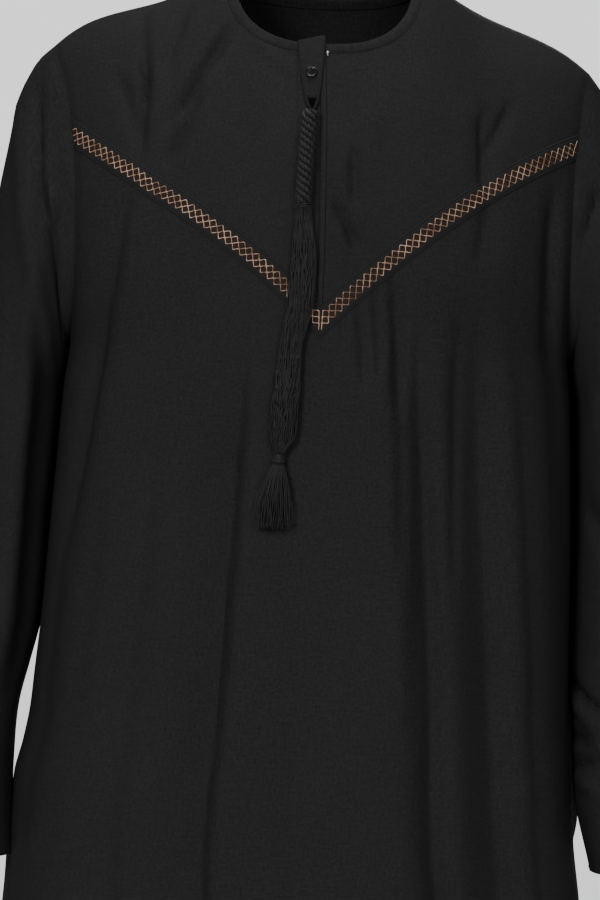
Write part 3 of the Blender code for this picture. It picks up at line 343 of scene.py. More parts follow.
# Tab: half widths down its length, the lift of its two top corners, and its loop
Taper = namedtuple("Taper", "z half")
TAB = (
    Taper(-0.064, 0.0121),
    Taper(-0.080, 0.0110),
    Taper(-0.097, 0.0096),
    Taper(-0.116, 0.0066),
    Taper(-0.126, 0.0042),
    Taper(-0.1305, 0.0016),
)
TAB_LIFT = (0.0010, 0.0078)
TAB_HEIGHT = 0.0029
TAB_THICK = 0.0014
TAB_FOLD = 0.0019
TAB_STITCHES_Z = -0.122
TAB_RIM = 0.0011
TAB_RIM_WIDTH = 0.0007
TAB_RIM_HEIGHT = 0.00030
TAB_EDGE_WIDTH = 0.0004
TAB_EDGE_DROP = 0.00055
TIP_START_Z = -0.112
TIP_STAND = 0.0032
LOOP_TOP_Z = -0.1165
LOOP_EDGE = 0.0019
LOOP_DEPTH = 0.0022
LOOP_FLOOR = 0.0008

# Button and press stud
BUTTON_Z = -0.097
BUTTON_RADIUS = 0.0050
BUTTON_THICK = 0.0022
WELL_REACH = 0.00095
WELL_RADIUS = 0.00052
WELL_DEPTH = 0.0011
SNAP_Z = -0.0785
SNAP_RADIUS = 0.0022
SNAP_SEAT = 0.0019

# Tassel: where its middle hangs, and its half width and half depth
Hang = namedtuple("Hang", "z x half deep")
TASSEL = (
    Hang(-0.129, -0.0095, 0.0062, 0.0062),
    Hang(-0.209, -0.0122, 0.0066, 0.0066),
    Hang(-0.216, -0.0120, 0.0068, 0.0050),
    Hang(-0.250, -0.0105, 0.0100, 0.0050),
    Hang(-0.288, -0.0120, 0.0112, 0.0052),
    Hang(-0.330, -0.0183, 0.0098, 0.0052),
    Hang(-0.371, -0.0214, 0.0115, 0.0056),
    Hang(-0.402, -0.0226, 0.0108, 0.0058),
    Hang(-0.417, -0.0248, 0.0042, 0.0040),
    Hang(-0.424, -0.0255, 0.0050, 0.0046),
    Hang(-0.440, -0.0265, 0.0105, 0.0062),
    Hang(-0.476, -0.0290, 0.0160, 0.0085),
)
HEAD_TOP_Z = -0.1290
HEAD_END_Z = -0.2090
BUNDLE_END_Z = -0.4170
KNOT_END_Z = -0.4240
SKIRT_END_Z = -0.4760
TASSEL_GAP = 0.0024
HEAD_PLIES = 4
HEAD_TURNS = 3.5
HEAD_GATHER = 0.62
HEAD_GATHER_SHARE = 0.045
PLY_REACH = 0.0049
HEAD_CORE_SHARE = 0.80
BUNDLE_CORE_SHARE = 0.72
STRAND_RADIUS = 0.00165
STRAND_REACH = 0.00062
STRAND_TWIST = 0.0070
BUNDLE_STRANDS = 200
SKIRT_STRANDS = 150
STRAND_RADII = (0.00036, 0.00054)
STRAND_SWING = 0.10
STRAND_RIPPLE = 0.035
STRAND_TURN = 0.9
BUNDLE_FILL = 0.93
BUNDLE_EDGE = 0.97
SKIRT_RADII = (0.00046, 0.00030)
SKIRT_ROOT = (0.0040, 0.0034)
SKIRT_SPREAD = (0.0160, 0.0080)
SKIRT_UNEVEN = 0.0035
SKIRT_WAVE = 0.0008
GOLDEN_TURN = 0.61803

# The cords tied round the foot of the head and above the skirt
HEAD_TIE_TURNS = 2.3
HEAD_TIE_REACH = 0.0064
HEAD_TIE_RADIUS = 0.00055
SKIRT_TIE_TURNS = 4.2
SKIRT_TIE_RADIUS = 0.00095
SKIRT_CORE_RADIUS = 0.0040

# Lattice: three zigzag threads that make two rows of diamonds on a brown ground
ZIGZAG = 0.00355
ZIGZAG_STEP = 0.0076
THREAD = 0.00035
THREAD_HEIGHT = 0.00172
LANE_RISE = 0.00008
THREAD_STEP = 0.00048
UNEVEN = 0.00012
THICKER_AT_TURNS = 0.16
THICKER_AT_TWISTS = 0.08
LATTICE_START = 0.0002
LATTICE_INSET = 0.0012
GROUND_HALF = 0.0052

# Stretches of the wearer's left leg, middle and reach, where the falling threads are thin
SLANTED = ((0.150, 0.012), (0.196, 0.018), (0.036, 0.016))
THINNING = 0.62

# Grids: counts of rows and columns, and how low the rows sag at the middle
COLUMNS = {FRONT: 176, BACK: 128}
NECK_ROWS = 2
SHOULDER_ROWS = 30
UPPER_ROWS = 20
BAND_ROWS = 6
LOWER_ROWS = {FRONT: 40, BACK: 66}
UNDERARM_SAG = 0.080
SAG_END_Z = -0.780
SIDE_LEVELS = np.concatenate([
    np.linspace(UNDERARM_Z, -0.860, 98)[1:],
    np.linspace(-0.860, HEM_Z, 54)[1:],
])
SLEEVE_STEP = 0.0055
SHOULDER_SHARE = 0.6
BINDING_COLUMNS = 56

# Rounds of a search for the place where two lines meet
SEARCH_ROUNDS = 8


def ease(share):
    """A smooth step from 0 to 1."""
    share = np.clip(share, 0.0, 1.0)
    return share * share * (3 - 2 * share)


def mix(a, b, share):
    return a + (b - a) * share


def unit(vectors):
    return vectors / np.maximum(np.linalg.norm(vectors, axis=-1, keepdims=True), 1e-12)


def side_of(x):
    return np.where(x < 0, RIGHT, LEFT)


def by_side(table, side):
    return np.where(np.asarray(side) < 0, table[RIGHT], table[LEFT])


def steps_to(start, end, count):
    """Even steps from start to end, without the start itself."""
    return np.linspace(start, end, count + 1)[1:]


def run_length(points, axis=0):
    """Distance along lines of points from their first point."""
    steps = np.diff(points, axis=axis, prepend=np.take(points, [0], axis=axis))
    return np.cumsum(np.linalg.norm(steps, axis=-1), axis=axis)


def between(places, place):
    """The row before a place, the step to the next row and the share of it that is passed."""
    low = np.clip(np.searchsorted(places, place, side="right") - 1, 0, len(places) - 2)
    span = places[low + 1] - places[low]
    return low, span, (place - places[low]) / span


def cubic(values, slopes, low, span, t):
    """A curve through rows of values with their slopes."""
    return (
        values[low] * (1 + 2 * t) * (1 - t) ** 2
        + slopes[low] * span * t * (1 - t) ** 2
        + values[low + 1] * t * t * (3 - 2 * t)
        + slopes[low + 1] * span * t * t * (t - 1)
    )


def column_of(table, field, key="z"):
    """One column of a table as a smooth function that never overshoots its rows."""
    rows = sorted(table, key=lambda row: getattr(row, key))
    places = np.array([getattr(row, key) for row in rows])
    values = np.array([getattr(row, field) for row in rows])
    secants = np.diff(values) / np.diff(places)
    slopes = np.empty(len(rows))
    slopes[0], slopes[-1] = secants[0], secants[-1]
    for i in range(1, len(rows) - 1):
        before, after = secants[i - 1], secants[i]
        slopes[i] = 2 * before * after / (before + after) if before * after > 0 else 0.0

    def value(place):
        return cubic(values, slopes, *between(places, np.clip(place, places[0], places[-1])))

    return value


half_at = column_of(SECTIONS, "half")
sway_at = column_of(SECTIONS, "sway")
power_at = column_of(SECTIONS, "power")
full_at = {FRONT: column_of(SECTIONS, "front"), BACK: column_of(SECTIONS, "back")}
shoulder_line = column_of(SHOULDER, "z", "reach")
tab_half_at = column_of(TAB, "half")
hang_x_at = column_of(TASSEL, "x")
hang_half_at = column_of(TASSEL, "half")
hang_deep_at = column_of(TASSEL, "deep")


def shoulder_z(side, reach):
    """Height of the shoulder line; the wearer's left shoulder hangs lower."""
    lower = LOW_SHOULDER * ease((reach - NECK_HALF) / (TIP_REACH - NECK_HALF))
    return shoulder_line(reach) - np.where(np.asarray(side) > 0, lower, 0.0)


def find_tip(side):
    """Where the shoulder line meets the outline."""
    reach = TIP_REACH
    for _ in range(SEARCH_ROUNDS):
        reach = float(half_at(shoulder_z(side, reach)))
    return reach, float(shoulder_z(side, reach))


TIPS = {side: find_tip(side) for side in (RIGHT, LEFT)}


def neck_curve(share):
    """How far the neckline has climbed at shares of its half width."""
    return 1 - (1 - share ** NECK_POWER) ** (1 / NECK_POWER)


def depth(face, x, z):
    """How far the cloth stands from the plane of the seams; minus x is the wearer's right."""
    side = side_of(x)
    reach = np.abs(x)
    power = power_at(z)
    drop = np.maximum(shoulder_z(side, reach) - z, 0.0)
    roll = 1 - np.maximum(1 - drop / ROLL_REACH[face], 0.0) ** ROLL_POWER[face]
    full = full_at[face](z) * roll ** (1 / ROLL_POWER[face])
    tip_z = np.where(side > 0, TIPS[LEFT][1], TIPS[RIGHT][1])
    rise = (z - UNDERARM_Z) / (tip_z - UNDERARM_Z)
    lag = 1 - np.clip(rise / ARMHOLE_RISE, 0.0, 1.0)
    ratio = np.where(z > UNDERARM_Z, ARMHOLE_RATIO[face] * np.sqrt(1 - lag * lag), 0.0)
    half = half_at(z) / (1 - ratio ** power) ** (1 / power)
    share = np.clip(reach / half, 0.0, 1.0)
    return full * (1 - share ** power) ** (1 / power)


def band_z(side, x):
    """Height of the band's middle line."""
    bend, lean, dip = (by_side(table, side) for table in (BAND_BEND, BAND_LEAN, BAND_DIP))
    dip = dip * np.exp(-(((x - BAND_DIP_X) / BAND_DIP_REACH) ** 2))
    return BAND_TIP_Z + BAND_SLOPE * x - bend * x * x + lean * x * x * (x - BAND_END) - dip


def band_slope(side, x):
    bend, lean = by_side(BAND_BEND, side), by_side(BAND_LEAN, side)
    return BAND_SLOPE - 2 * bend * x + lean * (3 * x * x - 2 * x * BAND_END)


def band_edge(side, x, edge):
    """Height at a share of the band's half width: 1 is its upper edge, -1 its lower one."""
    return band_z(side, x) + edge * BAND_HALF * np.hypot(1, band_slope(side, x))


def band_reach(side, edge):
    """Where an edge of the band meets the armhole."""
    reach = BAND_END
    for _ in range(SEARCH_ROUNDS):
        reach = float(half_at(band_edge(side, reach, edge)))
    return reach, float(band_edge(side, reach, edge))


def lean_on(distance, left, right, power=2.0):
    """A bell whose two flanks have their own widths; a lower power makes its middle sharper."""
    return np.exp(-(np.abs(distance / np.where(distance < 0, left, right)) ** power))


def press_folds(face, x, z):
    """How far the hanging folds press the cloth in."""
    total = np.zeros(np.broadcast(x, z).shape)
    for fold in FOLDS[face]:
        down = (z - fold.top_z) / (fold.low_z - fold.top_z)
        lowered = np.clip((fold.low_z - z) / (fold.low_z - HEM_Z), 0.0, 1.0)
        above = mix(fold.top_x, fold.low_x, down)
        below = fold.low_x * half_at(z) / half_at(fold.low_z)
        middle = np.where(z > fold.low_z, above, below)
        widen = mix(1.0, HEM_WIDENING, lowered)
        strength = ease((fold.top_z - z) / FOLD_ONSET) * mix(fold.depth, fold.hem_depth, lowered)
        total += strength * lean_on(x - middle, fold.left * widen, fold.right * widen, FOLD_POWER)
    return total * ease((1 - np.abs(x) / half_at(z)) / FOLD_EDGE)


def press_creases(face, x, z):
    """How far the shorter creases press the cloth in, or lift it."""
    total = np.zeros(np.broadcast(x, z).shape)
    for crease in CREASES[face]:
        run_x, run_z = crease.x_b - crease.x_a, crease.z_b - crease.z_a
        length = math.hypot(run_x, run_z)
        along = ((x - crease.x_a) * run_x + (z - crease.z_a) * run_z) / length
        across = ((x - crease.x_a) * -run_z + (z - crease.z_a) * run_x) / length
        share = along / length
        ends = crease.depth * ease(share / CREASE_ENDS) * ease((1 - share) / CREASE_ENDS)
        total += ends * lean_on(across, crease.left, crease.right)
    return total


def swell(x, z):
    """How far the back's cloth fills out behind the side seams, beside the sleeves."""
    behind = depth(BACK, x, z) / SWELL_DEPTH
    low = by_side(SWELL_LOW_Z, x)
    reach = ease((SWELL_TOP_Z - z) / SWELL_FADE) * ease((z - low) / SWELL_FADE)
    beside = ease((np.abs(x) / half_at(z) - SWELL_FROM) / SWELL_ONSET)
    return by_side(SWELL, x) * behind ** 2 * np.exp(1 - behind ** 2) * reach * beside


def press(face, x, z):
    """All that moves the cloth in from its smooth surface."""
    near, far = WOBBLE_X
    moved_x = x + near * np.sin(19 * z + 31 * x) + far * np.sin(61 * z - 29 * x + 1.3)
    moved_z = z + WOBBLE_Z * np.sin(17 * x + 5 * z)
    to_side = half_at(z) - np.abs(x)
    to_shoulder = shoulder_z(side_of(x), np.abs(x)) - z
    calm = ease(to_side / CALM_SIDE) * ease(to_shoulder / CALM_SHOULDER)
    total = press_folds(face, moved_x, z)
    total += press_creases(face, moved_x, moved_z) * calm
    ripple = np.sin(21 * x + 9 * z) * np.sin(13 * z - 8 * x + 0.7) + 0.5 * np.sin(47 * x - 19 * z)
    total += RIPPLE * ripple * calm
    nearest = np.minimum(to_side, to_shoulder)
    total += SEAM_DIP * np.exp(-((np.maximum(nearest, 0.0) / SEAM_REACH) ** 2))
    if face == BACK:
        total -= swell(x, z)
    return total


def base_point(face, x, z):
    return np.stack([x, face * (depth(face, x, z) + SEAM_GAP / 2), z], axis=-1)


def outward(across, down, face):
    return unit(np.cross(across, down)) * face


def grid_normals(points, face):
    return outward(np.gradient(points, axis=1), np.gradient(points, axis=0), face)


def formed(face, x, z):
    """Points of a grid on the pressed cloth, and their outward normals."""
    points = base_point(face, x, z)
    points = points - grid_normals(points, face) * press(face, x, z)[..., None]
    points[..., 0] += sway_at(z)
    return points, grid_normals(points, face)


def on_front(x, z, height=0.0):
    """Points on the front at distances from the middle line, and their outward normals."""
    x, z = np.broadcast_arrays(np.asarray(x, float), np.asarray(z, float))
    step = 0.0006

    def moved(px, pz):
        across = base_point(FRONT, px + step, pz) - base_point(FRONT, px - step, pz)
        down = base_point(FRONT, px, pz - step) - base_point(FRONT, px, pz + step)
        normal = outward(across, down, FRONT)
        point = base_point(FRONT, px, pz) - normal * press(FRONT, px, pz)[..., None]
        point[..., 0] += sway_at(pz)
        return point

    across = moved(x + step, z) - moved(x - step, z)
    down = moved(x, z - step) - moved(x, z + step)
    normal = outward(across, down, FRONT)
    return moved(x, z) + normal * np.broadcast_to(height, x.shape)[..., None], normal


# Grids of the panels


def spread_share(curve, count, samples=320):
    """Shares at equal distances along curves; curve gives points for rows of shares."""
    dense = np.linspace(0.0, 1.0, samples + 1)
    arcs = run_length(curve(dense[None, :]), axis=1)
    even = np.linspace(0.0, 1.0, count + 1)
    return np.array([np.interp(even * arc[-1], arc, dense) for arc in arcs])


def across_middle(right, left, axis):
    """Places of two halves, each from the middle line out, as one run from -X to +X."""
    return tuple(
        np.concatenate([np.delete(np.flip(a, axis), -1, axis), b], axis=axis)
        for a, b in zip(right, left)
    )


def both_halves(face, place, count):
    """Places with columns at equal distances; place gives those of a side for shares."""
    halves = []
    for side in (RIGHT, LEFT):
        shares = spread_share(lambda share: base_point(face, *place(side, share)), count)
        halves.append(place(side, shares))
    return across_middle(*halves, axis=1)


def armhole_levels(face, side, top_z, count):
    """Heights at equal distances down the armhole's edge."""
    z = np.linspace(top_z, UNDERARM_Z, 400)
    x = half_at(z)
    arcs = run_length(np.stack([x, depth(face, side * x, z), z], axis=-1))
    return np.interp(steps_to(0, arcs[-1], count), arcs, z)


def row_ends(face, side):
    """Where each row ends: on the shoulder seam, the armhole or the side seam."""
    tip_reach, tip_z = TIPS[side]
    reaches = NECK_HALF + BINDING_WIDTH * np.linspace(0, 1, NECK_ROWS + 1)
    reaches = np.append(reaches, steps_to(reaches[-1], tip_reach, SHOULDER_ROWS))
    ends = [(reach, float(shoulder_z(side, reach))) for reach in reaches]
    levels = [[tip_z]]
    if face == FRONT:
        upper, lower = (band_reach(side, edge)[1] for edge in (1, -1))
        levels += [steps_to(tip_z, upper, UPPER_ROWS), steps_to(upper, lower, BAND_ROWS)]
    levels += [armhole_levels(face, side, levels[-1][-1], LOWER_ROWS[face]), SIDE_LEVELS]
    return np.array(ends + [(float(half_at(z)), z) for z in np.concatenate(levels)[1:]])


def sag(z):
    return UNDERARM_SAG * np.clip((z - SAG_END_Z) / (UNDERARM_Z - SAG_END_Z), 0.0, 1.0)


def row_middles(face):
    """Heights of the rows at the middle line."""
    neck = -NECK_DROP[face] - BINDING_WIDTH * np.linspace(0, 1, NECK_ROWS + 1)
    levels = [neck]
    rows = LOWER_ROWS[face]
    if face == FRONT:
        top, end = (float(band_edge(LEFT, 0.0, edge)) for edge in (1, -1))
        levels += [
            mix(neck[-1], top, SHOULDER_SHARE * steps_to(0, 1, SHOULDER_ROWS)),
            mix(neck[-1], top, mix(SHOULDER_SHARE, 1, steps_to(0, 1, UPPER_ROWS))),
            steps_to(top, end, BAND_ROWS),
        ]
    else:
        rows += SHOULDER_ROWS
    levels.append(steps_to(levels[-1][-1], UNDERARM_Z - sag(UNDERARM_Z), rows))
    levels.append(SIDE_LEVELS - sag(SIDE_LEVELS))
    return np.concatenate(levels)


def row_shapes(face):
    """How much each row follows the neckline's scoop, the band's chevron and a bowl."""
    scoop, chevron = np.zeros((2, len(row_middles(face))))
    scoop[:NECK_ROWS] = 1.0
    scoop[NECK_ROWS:][:SHOULDER_ROWS + 1] = np.linspace(1, 0, SHOULDER_ROWS + 1)
    if face == FRONT:
        first = NECK_ROWS + SHOULDER_ROWS + UPPER_ROWS + BAND_ROWS
        chevron[:first] = 1 - scoop[:first]
        chevron[first:][:LOWER_ROWS[FRONT] + 1] = np.linspace(1, 0, LOWER_ROWS[FRONT] + 1)
    return scoop, chevron, 1 - scoop - chevron


def panel_places(face):
    """Distances from the middle line and heights of a panel's grid, from -X to +X."""
    middles = row_middles(face)[:, None]
    scoop, chevron, bowl = (shape[:, None] for shape in row_shapes(face))
    ends = {side: row_ends(face, side) for side in (RIGHT, LEFT)}

    def place(side, share):
        reach, edge_z = ends[side][:, :1], ends[side][:, 1:]
        across = np.sin(share * math.pi / 2)
        x = across * reach
        rise = (band_z(side, x) - BAND_TIP_Z) / (band_z(side, reach) - BAND_TIP_Z)
        climb = scoop * neck_curve(across) + chevron * rise + bowl * across * across
        return side * x, mix(middles, edge_z, climb)

    return both_halves(face, place, COLUMNS[face] // 2)


def armhole_span(face):
    """First and last row that end on the armhole."""
    first = NECK_ROWS + SHOULDER_ROWS
    upper = UPPER_ROWS + BAND_ROWS if face == FRONT else 0
    return first, first + upper + LOWER_ROWS[face]


def panel(face):
    """Points and outward normals of a panel with its folds, and its flat coordinates."""
    x, z = panel_places(face)
    flat_x = run_length(base_point(face, x, z), axis=1)
    flat = np.stack([flat_x - flat_x[:, [x.shape[1] // 2]], z], axis=-1)
    points, normals = formed(face, x, z)
    first, last = armhole_span(face)
    for rows in (slice(0, first + 1), slice(last, None)):
        normals[rows, (0, -1), 1] = 0.0
    return points, unit(normals), flat


# Sleeves


def press_bends(side, angle, z):
    """How far the sleeve's creases press its cloth in, or lift it."""
    total = np.zeros(np.broadcast(angle, z).shape)
    flat_x = angle * SLEEVE_RADIUS
    for bend in BENDS[side]:
        start_x = math.radians(bend.angle_a) * SLEEVE_RADIUS
        run_x = math.radians(bend.angle_b) * SLEEVE_RADIUS - start_x
        run_z = bend.z_b - bend.z_a
        share = ((flat_x - start_x) * run_x + (z - bend.z_a) * run_z) / (run_x ** 2 + run_z ** 2)
        share = np.clip(share, 0.0, 1.0)
        distance = np.hypot(flat_x - start_x - run_x * share, z - bend.z_a - run_z * share)
        fade = np.sin(math.pi * mix(BEND_ENDS, 1 - BEND_ENDS, share))
        total += bend.depth * fade * np.exp(-((distance / bend.width) ** 2))
    return total


def halved(ring):
    """A closed ring with a point added in the middle of each step."""
    middles = (ring + np.roll(ring, -1, axis=0)) / 2
    return np.stack([ring, middles], axis=1).reshape(-1, ring.shape[-1])


def armhole_seam(side):
    """The armhole as a ring of points, up the front from the underarm and down the back.

    Also its normals, and the place of its top point.
    """
    column = 0 if side < 0 else -1
    first, last = armhole_span(FRONT)
    up_front = slice(last, first - 1, -1)
    back_first, back_last = armhole_span(BACK)
    down_back = slice(back_first + 1, back_last)
    seam, normals = (
        np.concatenate([panels[FRONT][kind][up_front, column], panels[BACK][kind][down_back, column]])
        for kind in (0, 1)
    )
    top = last - first
    seam[0, 1] = seam[top, 1] = 0.0
    return halved(seam), unit(halved(normals)), 2 * top


def ring_normals(grid):
    """Outward normals of rings of points."""
    around = np.roll(grid, -1, axis=1) - np.roll(grid, 1, axis=1)
    normals = unit(np.cross(around, np.gradient(grid, axis=0)))
    arms = grid - grid.mean(axis=1, keepdims=True)
    return normals if (normals * arms).sum() > 0 else -normals


def sleeve(side):
    """Rings of points down a sleeve, their outward normals and flat coordinates."""
    seam, seam_normals, top = armhole_seam(side)
    arcs = run_length(np.concatenate([seam, seam[:1]]))
    angles = np.where(
        arcs[:-1] <= arcs[top],
        math.pi * arcs[:-1] / arcs[top],
        math.pi * (1 + (arcs[:-1] - arcs[top]) / (arcs[-1] - arcs[top])),
    )
    inner, outer = seam[0], seam[top]
    height = (seam[:, 2] - inner[2]) / (outer[2] - inner[2])
    bow = seam[:, 0] - mix(inner[0], outer[0], height)
    rings = [seam]
    for ring in SLEEVES[side]:
        along = mix(height, (1 - np.cos(angles)) / 2, ring.oval)
        x = side * mix(ring.in_x, ring.out_x, along) + bow * (1 - ring.oval)
        y = mix(seam[:, 1], ring.mid_y - ring.half_y * np.sin(angles), ring.oval)
        z = mix(ring.in_z, ring.out_z, along)
        rings.append(np.stack([x, y, z], axis=-1))
    rings = np.array(rings)
    gaps = np.linalg.norm(np.diff(rings, axis=0), axis=-1).mean(axis=1)
    knots = np.concatenate([[0.0], np.cumsum(gaps)])
    down = np.linspace(0.0, knots[-1], int(knots[-1] / SLEEVE_STEP) + 1)
    low, span, t = between(knots, down)
    points = cubic(rings, np.gradient(rings, knots, axis=0), low,
                   span[:, None, None], t[:, None, None])
    down = down[:, None]
    inward = press_bends(side, angles[None, :], points[..., 2]) * ease(down / BEND_ONSET)
    ripple = np.sin(5 * angles + 31 * down) * np.sin(19 * down)
    inward += SLEEVE_RIPPLE * ripple * ease(down / 0.05)
    points = points - ring_normals(points) * inward[..., None]
    normals = ring_normals(points)
    normals[0] = seam_normals
    flat = np.stack(np.broadcast_arrays(angles[None, :] * SLEEVE_RADIUS, -down), axis=-1)
    return points, normals, flat


# Meshes


def make_mesh(name, vertices, faces, uv=None, crisp=None):
    """An object from arrays: faces is a list of index arrays, one for each count of corners."""
    vertices = np.asarray(vertices, dtype=np.float32).reshape(-1, 3)
    corners = np.concatenate([group.ravel() for group in faces]).astype(np.int32)
    counts = np.concatenate([np.full(len(group), group.shape[1]) for group in faces])
    starts = np.concatenate([[0], np.cumsum(counts)[:-1]]).astype(np.int32)
    mesh = bpy.data.meshes.new(name)
    mesh.vertices.add(len(vertices))
    mesh.vertices.foreach_set("co", vertices.ravel())
    mesh.loops.add(len(corners))
    mesh.loops.foreach_set("vertex_index", corners)
    mesh.polygons.add(len(counts))
    mesh.polygons.foreach_set("loop_start", starts)
    mesh.update(calc_edges=True)
    if uv is not None:
        layer = mesh.uv_layers.new(name="UVMap")
        flat = np.asarray(uv, dtype=np.float32).reshape(-1, 2)[corners]
        layer.data.foreach_set("uv", flat.ravel())
    mesh.validate()
    mesh.shade_smooth()
    if crisp is not None:
        mesh.set_sharp_from_angle(angle=math.radians(crisp))
    item = bpy.data.objects.new(name, mesh)
    bpy.context.scene.collection.objects.link(item)
    return item


def grid_quads(rows, columns, closed=False):
    index = np.arange(rows * columns).reshape(rows, columns)
    after = np.roll(index, -1, axis=1)
    if not closed:
        index, after = index[:, :-1], after[:, :-1]
    return np.stack([index[:-1], index[1:], after[1:], after[:-1]], axis=-1).reshape(-1, 4)


def turned_out(groups, points, arms):
    """The faces as they are, or all turned over where the first group faces against its arms."""
    a, b, c = (points.reshape(-1, 3)[groups[0][:, k]] for k in (0, 1, 2))
    if (np.cross(b - a, c - b) * arms).sum() < 0:
        return [group[:, ::-1] for group in groups]
    return groups


def closed_sheet(name, outer, inner, flat, closed=False, crisp=50):
    """A thin closed sheet between two grids of points, its edges joined."""
    rows, columns = outer.shape[:2]
    size = rows * columns
    quads = grid_quads(rows, columns, closed)
    groups = [quads, quads[:, ::-1] + size]
    index = np.arange(size).reshape(rows, columns)
    rims = [index[0], index[-1][::-1], index[::-1, 0], index[:, -1]]
    if closed:
        ring = np.append(index, index[:, :1], axis=1)
        rims = [ring[0], ring[-1][::-1]]
    for rim in rims:
        a, b = rim[:-1], rim[1:]
        groups.append(np.stack([a, b, b + size, a + size], axis=-1))
    groups = turned_out(groups, outer, (outer - inner).reshape(-1, 3)[quads[:, 0]])
    vertices = np.concatenate([outer.reshape(-1, 3), inner.reshape(-1, 3)])
    uv = np.concatenate([flat.reshape(-1, 2)] * 2)
    return make_mesh(name, vertices, groups, uv, crisp)


def lidded(name, loops, uv=None, crisp=None):
    """A closed body through loops of points, with a lid on its first and last loop."""
    count, around = loops.shape[:2]
    quads = grid_quads(count, around, closed=True)
    ring = np.arange(around)
    lids = np.stack([ring, ring[::-1] + (count - 1) * around])
    centres = np.repeat(loops.mean(axis=1)[:-1], around, axis=0)
    arms = loops.reshape(-1, 3)[quads[:, 0]] - centres
    return make_mesh(name, loops, turned_out([quads, lids], loops, arms), uv, crisp)


def tubes(name, paths, radii, refs, sides, flatten=1.0):
    """Many round threads in one mesh; refs are directions that no thread runs along."""
    paths = np.asarray(paths, float)
    count, steps = paths.shape[:2]
    radii = np.broadcast_to(radii, (count, steps))
    tangents = unit(np.gradient(paths, axis=1))
    across = unit(np.cross(tangents, np.broadcast_to(refs, paths.shape)))
    other = np.cross(across, tangents)
    turn = 2 * math.pi * np.arange(sides) / sides
    arms = (across[:, :, None] * np.cos(turn)[:, None]
            + other[:, :, None] * np.sin(turn)[:, None] * flatten)
    vertices = paths[:, :, None] + arms * radii[:, :, None, None]
    index = np.arange(count * steps * sides).reshape(count, steps, sides)
    after = np.roll(index, -1, axis=2)
    quads = np.stack([index[:, :-1], index[:, 1:], after[:, 1:], after[:, :-1]], axis=-1)
    caps = np.concatenate([index[:, 0], index[:, -1, ::-1]])
    along = np.broadcast_to(run_length(paths, axis=1)[:, :, None], index.shape)
    round_share = np.broadcast_to(np.arange(sides) / sides, index.shape)
    uv = np.stack([round_share * 0.002, along], axis=-1)
    return make_mesh(name, vertices, [quads.reshape(-1, 4), caps], uv)


def dress(item, look, slot, *nodes):
    """Gives a piece its look, hangs it on the root and hides the nodes that it stands for; slot is
    not used.
    """
    item.data.materials.append(LOOKS[look])
    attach(item, "root")
    if nodes:
        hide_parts(*nodes)
    return item


def add_threads(name, paths, radii, refs, sides, look, *nodes):
    """Round threads as one dressed piece."""
    return dress(tubes(name, paths, radii, refs, sides), look, "thread", *nodes)


# Materials


CLOTH_BLACK = (0.0080, 0.0080, 0.0082)
WARP_PITCH = 0.00052
WEFT_PITCH = 0.00060


